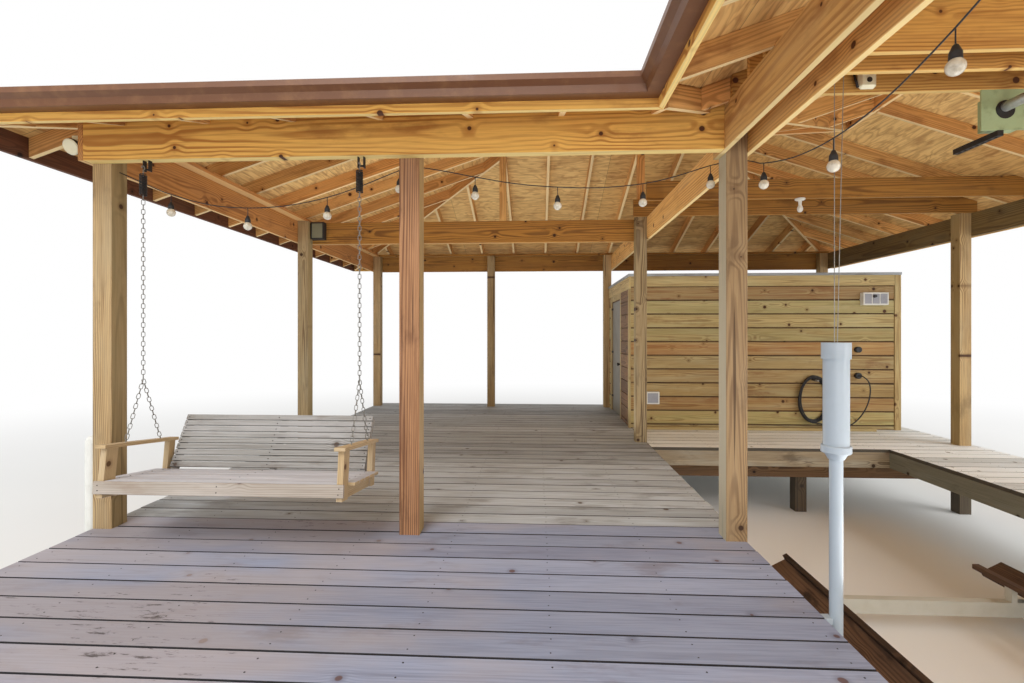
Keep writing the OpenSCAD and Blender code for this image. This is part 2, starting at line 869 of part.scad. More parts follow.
module rod(a, b, r) {
    d = b - a;
    l = norm(d);
    translate(a) rotate([0, acos(d[2] / l), atan2(d[1], d[0])]) cylinder(r = r, h = l, $fn = 16);
}

// Places on the tilted bench, counted from the middle of the seat's rear edge
module on_bench() {
    translate([swing_x, seat_y, seat_z]) rotate([-seat_tilt, 0, 0]) children();
}

function bench_y(y, z) = seat_y + y * cos(seat_tilt) + z * sin(seat_tilt);
function bench_z(y, z) = seat_z - y * sin(seat_tilt) + z * cos(seat_tilt);

module swing_chains() {
    spring_top = swing_z - 45;
    color(steel)
        for (x = hang_x)
            difference() {
                union() {
                    translate([x - 12, swing_y, swing_z]) rotate([0, 90, 0])
                        cylinder(r = 16, h = 24, $fn = 32);
                    translate([x, swing_y, spring_top - 120]) cylinder(r = 17, h = 120, $fn = 32);
                    rod([x, swing_y, spring_top - 10], [x, swing_y, swing_z - 10], 7);
                    rod([x, swing_y, split_z], [x, swing_y, spring_top - 110], 7);
                    translate([x - 9, swing_y, split_z]) rotate([0, 90, 0]) cylinder(r = 18, h = 18, $fn = 32);
                    for (y = [-380, -60])
                        rod([x, swing_y, split_z], [x, bench_y(y, arm_up - 15), bench_z(y, arm_up - 15)], 6);
                }
                translate([x - 30, swing_y, swing_z]) rotate([0, 90, 0])
                    cylinder(r = 7.3, h = 60, $fn = 32);
                on_bench() block([-bench_w, arm_front - 20, arm_up - 60],
                    [bench_w, arm_back + 20, arm_up + seat]);
            }
}

module swing_seat() {
    half = bench_w / 2;
    hang = hang_gap / 2;
    color(grey_deck) on_bench() {
        for (k = [0:seat_slats - 1])
            block([-half, -(k + 1) * (seat_slat_w + 8) + 8, -slat_t], [half, -k * (seat_slat_w + 8), 0]);
        for (x = [-hang, -half_t, hang - plank_t])
            block([x, -seat_d + 10, -slat_t - 85], [x + plank_t, 40, -slat_t]);
        for (s = [-1, 1]) {
            block([s * hang - half_t, arm_front + 30, -slat_t - 85],
                [s * hang + half_t, arm_front + 120, arm_up - 22]);
            block([s * hang - half_t, 2, -slat_t - 85], [s * hang + half_t, 62, arm_up - 22]);
            block([s * hang - 35, arm_front, arm_up - 22], [s * hang + 35, arm_back, arm_up]);
        }
    }
}

module swing_back() {
    hang = hang_gap / 2;
    half = hang - 37;
    step = slat_w + 7;
    color(grey_deck) on_bench() translate([0, 16, 10]) rotate([-back_lean, 0, 0]) {
        for (k = [0:back_slats - 1])
            block([-half, -slat_t, k * step], [half, 0, k * step + slat_w]);
        for (x = [-hang + plank_t + seat, half_t + seat, hang - 2 * plank_t - seat])
            block([x, 0, -80], [x + plank_t, plank_t, back_slats * step - 20]);
    }
}

// Boat lift
// Profile of a bunk plank in x and z, its left edge at u = 0, drawn along the slip
module bunk(x, u1, u2, v1, v2) {
    c = cos(bunk_tilt);
    n = sin(bunk_tilt);
    z = bunk_h - plank_t - 60;
    translate([x, lift_y2, z]) rotate([90, 0, 0]) linear_extrude(height = bunk_l)
        polygon([for (p = [[u1, v1], [u2, v1], [u2, v2], [u1, v2]]) [p[0] * c - p[1] * n, p[0] * n + p[1] * c]]);
}

// Stub between a cradle beam and a plank, cut to the plank's tilt
module riser(x, from, to, y, z1) {
    z = bunk_h - plank_t - 60 - 1;
    translate([x, y + cradle_w, 0]) rotate([90, 0, 0]) linear_extrude(height = cradle_w)
        polygon([[from, z1], [to, z1], [to, z + to * tan(bunk_tilt)], [from, z + from * tan(bunk_tilt)]]);
}

module lift_cradle() {
    z1 = bunk_h - 140;
    color(steel)
        for (y = cradle_y) {
            block([rope_x[0] - 30, y, z1 - cradle_d], [rope_x[1] + 30, y + cradle_w, z1]);
            for (x = bunk_x) riser(x, 70, 110, y, z1 + seat);
            block([bunk_x[1] - 77, y, z1 + seat], [bunk_x[1] - 37, y + cradle_w, bunk_h - batten - seat]);
        }
}

module lift_bunks() {
    color(brown) {
        for (x = bunk_x) bunk(x, 0, bunk_w, 0, plank_t);
        bunk(bunk_x[0], bunk_w - batten, bunk_w, plank_t + seat, plank_t + batten);
        block([bunk_x[1] - 84, lift_y1, bunk_h - batten], [bunk_x[1] - 30, lift_y2, bunk_h]);
    }
}

module lift_ropes() {
    color(steel)
        for (x = rope_x, y = cradle_y) {
            top = x == rope_x[1] && y == cradle_y[0] ? z_rafter_sheave : z_sheave;
            translate([x, y + cradle_w / 2, bunk_h - 140 + seat])
                cylinder(r = rope_d / 2, h = top - bunk_h + 140 - 2 * seat, $fn = 16);
        }
    // Two thin lines from the roof skin into the guide pipe
    color(steel)
        for (k = [[-8, -8], [6, 46]])
            rod([guide_x + k[0], guide_y, deck_h + guide_top + seat],
                [guide_x + k[1], guide_y, z_high(guide_x + k[1] - x_eave_slip) - 1], 2);
}

module lift_drive() {
    y = cradle_y + [cradle_w / 2, cradle_w / 2];
    y_first = row_y(1) + 330;
    y_last = row_y(2) - 460;
    near_rafter = row_y(2) - over_front - 270 + 2 * rafter_gap + half_t;
    color(steel) {
        for (k = y)
            block([x_slip + plank_t + seat, k - 35, z_sheave], [rope_x[0] + 40, k + 35, z_sheave + 160]);
        block([rope_x[1] - 45, y_first, z_sheave], [rope_x[1] + 45, y[1] + 40, z_beam_top - seat]);
        block([rope_x[1] - 40, near_rafter + seat, z_rafter_sheave],
            [rope_x[1] + 40, y[0] + 40, z_rafter_sheave + 150]);
        for (k = [y_first, y_last])
            block([wind_x - 35, k, z_wind - 50], [wind_x + 35, k + plank_t, z_beam_top - seat]);
        translate([wind_x, y_first - 120, z_wind]) rotate([-90, 0, 0])
            cylinder(r = wind_d / 2, h = plate_y - seat - y_first + 120, $fn = 32);
    }
}

// Gear housing under the innermost tie: a face plate, the case behind it and a slotted rail
module lift_gearbox() {
    foot = z_beam_top - 248;
    left = wind_x - 140;
    color(gear_green) {
        block([left, plate_y, foot], [wind_x + 200, plate_y + 10, z_beam_top - seat]);
        block([left + 70, plate_y + 10, foot + 20], [wind_x + 120, plate_y + 110, z_beam_top - 30]);
    }
    color(rubber)
        difference() {
            block([wind_x - 45, plate_y, foot - 34], [wind_x - 10, plate_y + 330, foot - seat]);
            for (k = [0:6])
                block([wind_x - 34, plate_y + 20 + 44 * k, foot - 40], [wind_x - 21, plate_y + 44 + 44 * k, foot]);
        }
}

module guide_pipe() {
    z1 = 60;
    z2 = deck_h + guide_neck;
    z3 = deck_h + guide_top;
    color(pvc) {
        translate([guide_x, guide_y, 0]) {
            translate([0, 0, z1]) cylinder(r = guide_low_d / 2, h = z2 - z1, $fn = 32);
            translate([0, 0, z2 - 1]) cylinder(r1 = guide_low_d / 2 + 6, r2 = guide_d / 2 + 6, h = 50, $fn = 48);
            translate([0, 0, z2 + 48]) cylinder(r = guide_d / 2, h = z3 - z2 - 60, $fn = 48);
            translate([0, 0, z3 - 80]) cylinder(r = guide_d / 2 + 7, h = 80, $fn = 48);
        }
        block([x_slip + seat, guide_y - 22, deck_h - 34], [guide_x - guide_low_d / 2 + 3, guide_y + 22, deck_h - 4]);
    }
}

// String lights: the cord's route from the first deck post to the second slip
// post, and the places on it that carry a bulb. A span's points are the share
// of the way, the set-off and the drop below the beams.
cord_y = row_y(2) + post_w + cord_d / 2 + 1.5;
function wing_span(from, to, list) = [for (p = list) [from + p[0] * (to - from), cord_y - p[1], z_beam - p[2]]];
function slip_span(from, to, list) = [for (p = list) [x_slip + p[1], from + p[0] * (to - from), z_beam - p[2]]];
light_route = concat(
    [[x_left + post_w + cord_d / 4, row_y(2) + post_w / 2, z_beam - 40]],
    wing_span(x_left + post_w, x_mid_post, [[0.086, 45, 120], [0.169, 25, 190], [0.304, 10, 265],
        [0.441, 3, 290], [0.584, 0, 275], [0.726, 0, 220], [0.855, 0, 135], [0.981, 0, 35]]),
    [[x_mid_post + post_w / 2, cord_y, z_beam - 16], [x_mid_post + post_w + 20, cord_y, z_beam - 22]],
    wing_span(x_mid_post + post_w, x_slip - post_w, [[0.097, 0, 55], [0.178, 0, 90], [0.319, 0, 142],
        [0.461, 0, 170], [0.604, 0, 178], [0.749, 0, 155], [0.861, 0, 105], [0.974, 0, 35]]),
    [[x_slip - post_w / 2 + 2, cord_y + 1, z_beam - 16], [x_slip - 6, cord_y + 12, z_beam - 16],
        [x_slip + 20, cord_y - 13, z_beam - 20], [x_slip + 10, cord_y - 80, z_beam - 32]],
    slip_span(row_y(2), row_y(1) + post_w, [[0.028, 5, 90], [0.077, 5, 148], [0.203, 5, 240],
        [0.328, 5, 279], [0.447, 5, 260], [0.566, 5, 178], [0.667, 10, 65], [0.725, 18, 10],
        [0.804, 19, 4], [0.907, 19, 4]]),
    [[x_slip + half_t, row_y(1) + post_w + 2, z_beam - 4]]);
bulb_at = [2, 4, 6, 8, 12, 14, 16, 18, 24, 26, 28, 31];

function spline_point(p, k, t) = let (
    a = p[max(k - 1, 0)], b = p[k], c = p[k + 1], d = p[min(k + 2, len(p) - 1)])
    0.5 * ((2 * b) + (c - a) * t + (2 * a - 5 * b + 4 * c - d) * t * t + (3 * b - a - 3 * c + d) * t * t * t);

module tube(route, r, sides = 8) {
    path = concat([for (k = [0:len(route) - 2], t = [0, 0.5]) spline_point(route, k, t)],
        [route[len(route) - 1]]);
    n = len(path);
    rings = [for (i = [0:n - 1]) let (
        d = path[min(i + 1, n - 1)] - path[max(i - 1, 0)],
        side = cross(d, [0, 0, 1]) / norm(cross(d, [0, 0, 1])),
        up = cross(side, d) / norm(d))
        for (k = [0:sides - 1]) path[i] + r * (cos(360 * k / sides) * side + sin(360 * k / sides) * up)];
    walls = [for (i = [0:n - 2], k = [0:sides - 1]) let (j = (k + 1) % sides)
        [i * sides + k, i * sides + j, (i + 1) * sides + j, (i + 1) * sides + k]];
    ends = [[for (k = [sides - 1:-1:0]) k], [for (k = [0:sides - 1]) (n - 1) * sides + k]];
    polyhedron(rings, concat(walls, ends), convexity = 10);
}

module light_cord() {
    color(rubber) tube(light_route, cord_d / 2);
}

module string_bulbs() {
    r = bulb_d / 2;
    color(rubber)
        for (k = bulb_at)
            translate(light_route[k] - [0, 0, cord_d / 2 + 2 * seat]) rotate_extrude($fn = 24)
                polygon([[0, 0], [2.5, 0], [2.5, -50], [9, -56], [19, -80], [20, -102], [17, -104],
                    [r * 0.9, -104 - r * 0.5], [r, -104 - r], [r * 0.8, -104 - r * 1.5],
                    [r * 0.4, -104 - r * 1.8], [0, -104 - r * 1.85]]);
}

module ceiling_lamp() {
    color(pvc)
        translate([lift_x + 94, light_ties[0] + half_t, z_beam_top - seat]) rotate_extrude($fn = 32)
            polygon([[0, 0], [52, 0], [52, -12], [40, -20], [20, -24], [17, -44], [16, -70], [24, -90],
                [30, -112], [26, -134], [14, -148], [0, -152]]);
}

module flood_light() {
    x = x_left - 102;
    y = row_y(2) - 30;
    z = z_beam + 107;
    color(rubber) block([x - 10, y - 12, z + 30], [x_left - plank_t - seat, y + 12, z + 80]);
    color(pvc)
        translate([x, y - 20, z]) rotate([118, 0, 0]) rotate_extrude($fn = 40)
            polygon([[0, -48], [30, -48], [44, -30], [56, 0], [56, 12], [50, 18], [0, 18]]);
}

// Junction box on the middle beam, power boxes and sockets on the shed's front wall
module wall_boxes() {
    y = row_y(3) + post_w - seat;
    color(grey_deck) block([x_left + 150, y - 88, z_beam + 50], [x_left + 330, y, z_beam + 280]);
    color(steel) {
        block([shed_x + 210, shed_y - 92, deck_h + 360], [shed_x + 400, shed_y - seat, deck_h + 540]);
        block([shed_x2 - 562, shed_y - 92, z_shed - 435], [shed_x2 - 212, shed_y - seat, z_shed - 255]);
    }
    color(rubber)
        for (z = [783, 1157])
            translate([shed_x2 - 607, shed_y - seat, deck_h + z]) rotate([90, 0, 0])
                cylinder(r = 43, h = 70, $fn = 32);
}

// Coiled lead on a peg
coil_w = 450;
coil_h = 690;
coil_d = 68;
module hose_coil() {
    x = shed_x + (shed_x2 - shed_x) * 0.679;
    z = deck_h + 442;
    y = shed_y - trim_t + 4;
    color(rubber) {
        translate([x, y, z]) rotate([90, 0, 0]) linear_extrude(height = coil_d)
            difference() {
                scale([coil_w / coil_h, 1]) circle(d = coil_h, $fn = 72);
                scale([(coil_w - 110) / (coil_h - 110), 1]) circle(d = coil_h - 110, $fn = 72);
            }
        translate([x, shed_y - seat, z + coil_h / 2 - 55 - 14.5]) rotate([90, 0, 0])
            cylinder(r = 14, h = 130, $fn = 32);
    }
}

module dock_bumper() {
    r = 52;
    color(pvc)
        translate([x_left - r - seat, row_y(2) + post_w / 2, deck_h - 60]) rotate_extrude($fn = 40)
            polygon([[0, 0], [30, 0], [46, 12], [r, 34], [r, 660], [48, 684], [34, 702], [0, 712]]);
}

deck_posts();
slip_left_posts();
slip_right_posts();
short_piles();
front_deck();
rear_deck();
walkway();
finger_pier();
deck_joists();
pier_joists();
deck_girders();
front_beam();
mid_beam();
back_beam();
left_beam();
slip_beams();
slip_ties();
king_posts();
wing_rafters();
slip_rafters();
hip_rafters();
ridge_boards();
roof_left();
roof_front();
roof_back();
roof_right();
slip_roof_left();
slip_roof_right();
slip_roof_water();
fascia();
gutter();
shed_front_wall();
shed_back_wall();
shed_right_wall();
door_wall_near();
door_wall_far();
door_wall_over();
shed_top();
shed_trim();
door_casing();
shed_door();
door_hardware();
swing_hangers();
swing_chains();
swing_seat();
swing_back();
lift_cradle();
lift_bunks();
lift_ropes();
lift_drive();
lift_gearbox();
guide_pipe();
light_cord();
string_bulbs();
ceiling_lamp();
flood_light();
wall_boxes();
hose_coil();
dock_bumper();
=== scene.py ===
# Boathouse on piles: finishes, boards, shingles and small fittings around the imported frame
import math
import random

import bmesh
import bpy
from mathutils import Matrix, Vector


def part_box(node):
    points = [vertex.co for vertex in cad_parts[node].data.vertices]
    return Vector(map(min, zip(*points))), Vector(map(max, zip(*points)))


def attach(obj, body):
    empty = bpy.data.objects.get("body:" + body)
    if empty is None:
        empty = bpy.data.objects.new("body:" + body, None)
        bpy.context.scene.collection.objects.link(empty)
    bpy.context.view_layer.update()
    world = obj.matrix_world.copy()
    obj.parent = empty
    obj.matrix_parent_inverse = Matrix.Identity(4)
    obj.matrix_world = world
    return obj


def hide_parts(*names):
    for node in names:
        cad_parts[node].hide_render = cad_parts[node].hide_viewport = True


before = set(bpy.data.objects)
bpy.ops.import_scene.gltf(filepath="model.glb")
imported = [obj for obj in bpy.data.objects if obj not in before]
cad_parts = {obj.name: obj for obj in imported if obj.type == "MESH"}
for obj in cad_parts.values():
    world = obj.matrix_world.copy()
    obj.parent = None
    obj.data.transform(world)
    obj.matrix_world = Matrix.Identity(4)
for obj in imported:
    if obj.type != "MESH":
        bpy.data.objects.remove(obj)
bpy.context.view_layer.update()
house = "house"


def tone(code):
    # a screen colour in hex digits as a linear one
    def linear(pair):
        value = int(pair, 16) / 255
        return value / 12.92 if value <= 0.04045 else ((value + 0.055) / 1.055) ** 2.4
    return (linear(code[0:2]), linear(code[2:4]), linear(code[4:6]), 1.0)


# Node trees

class Sock:
    def __init__(self, wires, socket):
        self.wires = wires
        self.socket = socket

    def __add__(self, other):
        return self.wires.math("ADD", self, other)

    def __radd__(self, other):
        return self.wires.math("ADD", other, self)

    def __sub__(self, other):
        return self.wires.math("SUBTRACT", self, other)

    def __rsub__(self, other):
        return self.wires.math("SUBTRACT", other, self)

    def __mul__(self, other):
        return self.wires.math("MULTIPLY", self, other)

    def __rmul__(self, other):
        return self.wires.math("MULTIPLY", other, self)

    def __truediv__(self, other):
        return self.wires.math("DIVIDE", self, other)

    def __rtruediv__(self, other):
        return self.wires.math("DIVIDE", other, self)


class Wires:
    def __init__(self, tree):
        self.tree = tree

    def add(self, kind, settings=None, inputs=None):
        node = self.tree.nodes.new(kind)
        for key, value in (settings or {}).items():
            setattr(node, key, value)
        for key, value in (inputs or {}).items():
            if isinstance(value, Sock):
                self.tree.links.new(value.socket, node.inputs[key])
            else:
                node.inputs[key].default_value = value
        return node

    def out(self, node, key=0):
        return Sock(self, node.outputs[key])

    def get(self, kind, settings=None, inputs=None, key=0):
        return self.out(self.add(kind, settings, inputs), key)

    def math(self, operation, first, second=0.0):
        return self.get("ShaderNodeMath", {"operation": operation}, {0: first, 1: second})

    def sine(self, value):
        return self.math("SINE", value)

    def parts(self, vector):
        node = self.add("ShaderNodeSeparateXYZ", None, {0: vector})
        return [self.out(node, k) for k in range(3)]

    def join(self, x, y, z):
        return self.get("ShaderNodeCombineXYZ", None, {0: x, 1: y, 2: z})


class Ink(Wires):
    # a material; colours go through mix, numbers through operators
    def __init__(self, name):
        self.material = bpy.data.materials.new(name)
        self.material.use_nodes = True
        super().__init__(self.material.node_tree)
        self.tree.nodes.clear()

    def noise(self, vector, scale, detail=3.0, rough=0.5, twist=0.0):
        inputs = {"Vector": vector, "Scale": scale, "Detail": detail, "Roughness": rough, "Distortion": twist}
        return self.get("ShaderNodeTexNoise", None, inputs)

    def step(self, value, low, high):
        return self.get("ShaderNodeMapRange", {"interpolation_type": "SMOOTHSTEP"},
                        {"Value": value, "From Min": low, "From Max": high})

    def mix(self, mask, first, second, blend="MIX"):
        return self.get("ShaderNodeMix", {"data_type": "RGBA", "blend_type": blend},
                        {0: mask, 6: first, 7: second}, 2)

    def tint(self, body, value, low, high, amount, colour):
        # the colour comes over the body as the value goes from low to high
        return self.mix(self.step(value, low, high) * amount, body, colour)

    def place(self):
        return self.get("ShaderNodeTexCoord", key="Object")

    def stored(self, name, key="Fac"):
        return self.get("ShaderNodeAttribute", {"attribute_name": name}, key=key)

    def finish(self, colour, roughness, height=None, bump=0.3, depth=0.002, metallic=0.0, coat=0.0,
               specular=0.5):
        shader = self.add("ShaderNodeBsdfPrincipled", None,
                          {"Base Color": colour, "Roughness": roughness, "Metallic": metallic,
                           "Coat Weight": coat, "Specular IOR Level": specular})
        if height is not None:
            lift = self.get("ShaderNodeBump", None, {"Strength": bump, "Distance": depth, "Height": height})
            self.tree.links.new(lift.socket, shader.inputs["Normal"])
        end = self.add("ShaderNodeOutputMaterial")
        self.tree.links.new(shader.outputs[0], end.inputs[0])
        return self.material


# Woods: rings round a pith beside each board, knots, streaks and weather

inGround = {"foot": "3a3632", "pith": 0.085, "cracks": 0.75}
# the shed's courses: where they start, their pitch, and how far single ones take another tint
courses = {"start": 0.914, "pitch": 0.2014,
           "tints": {"965c30": {9: 0.5, 5: 0.5, 3: 0.2, 1: 0.35},
                     "a6a26a": {8: 0.45, 7: 0.25, 6: 0.4, 0: 0.5}}}
# light, dark, other light, knot, weather and stain; ring width; how strong rings, weather and stain are
woods = {
    # side: painted light where paler than the post's wood, painted shade where darker
    "postWood": ("ceae7e 6a4a2a ba9e6e 4a301c baac8c 685438", 0.011, 0.8, 0.35, 0.5,
                 dict(side="968458", **inGround)),
    "postBrown": ("b2845c 542e1c a0724e 3e2416 aa8468 5c3a26", 0.011, 0.85, 0.35, 0.55,
                  dict(side="baa470", **inGround)),
    "postPale": ("ac8e66 6e5036 a2845e 462e1e b09a7a 624830", 0.007, 0.6, 0.35, 0.5,
                 dict(side="e2dec4", **inGround)),
    "postShade": ("b49e76 5c4228 a28c64 462e1c a49a80 5c4a32", 0.01, 0.75, 0.35, 0.5,
                  dict(side="968458", **inGround)),
    # edge: painted light on the faces turned down
    "beamWood": ("fcc868 ac6626 f0b65a 522c16 e2b064 965c2a", 0.02, 0.8, 0.2, 0.45, dict(edge="fce89e")),
    "tieWood": ("daa858 925622 cc984e 522c16 c49658 825026", 0.018, 0.75, 0.25, 0.5, dict(edge="eccc84")),
    "paleBeam": ("fad08a b87c44 f2c276 5c361c e0c08c a46e3c", 0.022, 0.7, 0.3, 0.45, dict(edge="fce8ac")),
    "shadeBeam": ("b6823a 623c18 a2702e 3a2010 8c663c 543218", 0.018, 0.8, 0.25, 0.5, dict(edge="c4985a")),
    "oliveBeam": ("947c4e 544024 846c40 382616 7c745c 463a26", 0.018, 0.7, 0.45, 0.5, dict(edge="968256")),
    "tanBeam": ("d69a58 804c28 c6884a 4c2a18 b0845a 7a4c2a", 0.015, 0.7, 0.35, 0.5, dict(edge="f6d496")),
    "rafterWood": ("f0be76 a06836 dea460 502c1a c89c68 8a562e", 0.015, 0.65, 0.3, 0.55, dict(edge="ffecb8")),
    "brownWood": ("7a4e34 3e2418 66402c 2a1a12 6a5240 3e2418", 0.01, 0.65, 0.35, 0.0, dict()),
    "girderWood": ("94704c 4c3422 7e5c3c 302016 705e4a 3e2e22", 0.011, 0.7, 0.4, 0.6, dict()),
    "rimWood": ("b4a488 604c38 9e8e72 3c2c1e b0aea0 5c4c3a", 0.012, 0.75, 0.5, 0.7, dict()),
    "joistWood": ("989684 605c4e 8a8878 3c3228 9ea092 4c483c", 0.011, 0.5, 0.5, 0.6, dict()),
    # the dark board-side colours below paint the shade in the gaps between boards
    "frontBoards": ("a0a8c0 6a6c7c 8e94ab 685254 acb0c2 746a6e", 0.014, 0.22, 0.4, 0.5,
                    dict(gapShade="242224", knots=1.1, worn="baaca6")),
    "greyBoards": ("bec3c6 706e6a a6aaac 5c4e42 c2cad2 68625c", 0.013, 0.4, 0.55, 0.5,
                   dict(gapShade="342e2a", knots=1.3)),
    "walkBoards": ("fafefe d6d5ce f0f4f2 705c4a fcfcfa aaa292", 0.013, 0.35, 0.5, 0.4,
                   dict(gapShade="544e44", knots=1.3)),
    "sidingWood": ("cab682 7c5a32 b69a64 4e2e1a c4be96 865a36", 0.013, 0.7, 0.35, 0.6,
                   dict(gapShade="322214", courses=courses)),
    "trimWood": ("ceb882 84663c bea470 604026 cec696 84663c", 0.012, 0.65, 0.35, 0.0, dict()),
    "swingWood": ("a4a29e 645c54 928e8a 5c4c42 bab8b8 706256", 0.01, 0.5, 0.5, 0.5, dict(knots=0.9)),
    "seatWood": ("dcdee4 9e9896 ccccd2 786458 f0f0f6 b0a094", 0.01, 0.35, 0.5, 0.4, dict(knots=0.9)),
    "apronWood": ("c8bcae 867464 b8aa9a 6e5a4c dcd4cc a48e7a", 0.01, 0.4, 0.5, 0.5, dict(knots=1.2)),
    "armWood": ("d6bc90 92724e c8ae84 684a2e ccc0a8 92724e", 0.01, 0.6, 0.35, 0.0, dict()),
    "bunkWood": ("7a5c46 34261e 5e4636 322016 42322a 201814", 0.011, 0.6, 0.5, 0.9, dict()),
}


def wood(name, colours, ring, ringMix, greyMix, stainMix, edge=None, side=None, gapShade=None, foot=None,
         worn=None, courses=None, cracks=0.0, knots=2.4, pith=0.035):
    # edge: painted light on faces turned down; side: faces turned left or right, painted light where paler
    # and painted shade where darker; the board-side colour: painted shade on the sides of boards, so the gaps
    # look dark;
    # foot: below the decks; worn: patches on the deck's left; courses: redder and greener boards at set
    # heights
    light, dark, other, knot, grey, stain = [tone(colour) for colour in colours.split()]
    ink = Ink(name)
    length, across, through = ink.parts(ink.stored("grain", "Vector"))
    seed = ink.stored("seed")
    along = length + seed * 61.7

    def flow(run, cross, salt=0.0, start=0.0, detail=2.0, rough=0.6):
        # noise drawn out along the board
        place = along * run + start if start else along * run
        beside = across * cross + seed * salt if salt else across * cross
        return ink.noise(ink.join(place, beside, through * cross), 1.0, detail, rough)

    drift = ink.noise(ink.join(along * 0.7, across * 4.0 + seed * 13.0, through * 4.0), 1.4, 2.0) - 0.5
    # knots: round spots along the face that push the rings aside
    spots = ink.add("ShaderNodeTexVoronoi", {"voronoi_dimensions": "2D"},
                    {"Vector": ink.join(along * knots, across * knots + seed * 29.0, 0.0), "Scale": 1.0,
                     "Randomness": 1.0})
    spotSize = ink.parts(ink.out(spots, "Color"))[0]
    spotGap = ink.out(spots, "Distance") / knots + drift * 0.016
    push = ink.step(spotGap, 0.10, 0.0)
    # rings about a pith that runs out of the board, so that they cross its face in long arches
    bend = drift * (2.4 * ring)
    pithAcross = across + (seed - 0.5) * 0.12 + bend
    pithThrough = through + pith + seed * 0.05 + length * 0.012 + bend
    reach = ink.math("SQRT", pithAcross * pithAcross + pithThrough * pithThrough) + push * 0.014
    wave = ink.sine(reach * (math.tau / ring)) * 0.5 + 0.5
    cloud = ink.noise(ink.join(along * 0.9, across * 6.0, through * 6.0 + seed * 9.0), 1.0, 2.0)
    late = ink.step(wave, 0.35, 0.99) * (ink.step(cloud, 0.3, 0.62) * 0.75 + 0.25)
    fibres = flow(4.0, 120.0)
    patches = flow(1.1, 7.0, 5.0, detail=3.0)
    streaks = flow(0.8, 26.0, 17.0, 3.0, 3.0)
    body = ink.mix(ink.step(ink.math("FRACT", seed * 7.13), 0.25, 0.95), light, other)
    body = ink.mix(late * ringMix, body, dark)
    body = ink.tint(body, fibres, 0.35, 0.75, 0.3, dark)
    body = ink.tint(body, streaks, 0.54, 0.74, 0.5, dark)
    body = ink.tint(body, patches, 0.42, 0.72, greyMix, grey)
    if stainMix:
        body = ink.tint(body, flow(1.6, 4.0, 3.0, 7.0, 5.0, 0.65), 0.54, 0.70, stainMix, stain)
    if cracks:
        body = ink.tint(body, flow(0.6, 30.0, 7.0, 5.0, 1.0, 0.4), 0.66, 0.71, cracks, knot)
    x, y, z = ink.parts(ink.place())
    # faces turned down take edge, painted light; faces turned left or right take side, painted light where
    # paler and painted shade where darker
    for colour, mask, amount in ((edge, "under", 0.65), (side, "beside", 0.55)):
        if colour:
            body = ink.mix(ink.stored(mask) * amount, body, tone(colour))
    if courses:
        index = ink.math("FLOOR", (z - courses["start"]) / courses["pitch"])
        uneven = ink.step(streaks, 0.36, 0.60) * 0.6 + 0.4
        for colour, amounts in courses["tints"].items():
            for course, amount in amounts.items():
                here = ink.step(ink.math("ABSOLUTE", index - float(course)), 0.6, 0.4)
                body = ink.mix(here * uneven * amount, body, tone(colour))
    body = ink.tint(body, spotGap, 0.045, 0.010, 0.5, dark)
    body = ink.mix(ink.step(spotGap - spotSize * 0.016, 0.008, 0.001), body, knot)
    if worn:
        area = ink.noise(ink.join(x * 0.9, y * 2.2, 0.0), 1.0, 3.0) + ink.step(x, -0.8, -2.6) * 0.26
        body = ink.tint(body, area, 0.50, 0.84, 0.6, tone(worn))
        flecks = ink.noise(ink.join(x * 6.0, y * 26.0, 0.0), 1.0, 6.0, 0.75) + area * 0.55
        body = ink.tint(body, flecks, 1.04, 1.14, 0.8, tone("3e322c"))
    shade = ink.math("FRACT", seed * 3.71) * 0.34 + 0.80
    body = ink.mix(1.0, body, ink.join(shade, shade, shade), "MULTIPLY")
    if foot:
        body = ink.tint(body, z, 0.60, 0.54, 0.85, tone(foot))
    # painted shade on the sides of boards, so the gaps between them look dark
    if gapShade:
        body = ink.mix(ink.stored("gapShade"), body, tone(gapShade))
    # the relief follows the fibres alone, because a bump works its height out three times over
    return ink.finish(body, 0.62 + fibres * 0.18, fibres, bump=0.35, depth=0.0012, specular=0.35)


def paint(name, colour, rough, worn, wornMix, metallic=0.0, coat=0.0, speckle=9.0):
    ink = Ink(name)
    cloud = ink.noise(ink.place(), speckle, 4.0, 0.6)
    fine = ink.noise(ink.place(), speckle * 22, 3.0, 0.6)
    body = ink.tint(tone(colour), cloud, 0.45, 0.8, wornMix, tone(worn))
    body = ink.tint(body, fine, 0.55, 0.85, wornMix * 0.5, tone(worn))
    return ink.finish(body, rough + cloud * 0.12, fine, 0.08, 0.0006, metallic, coat)


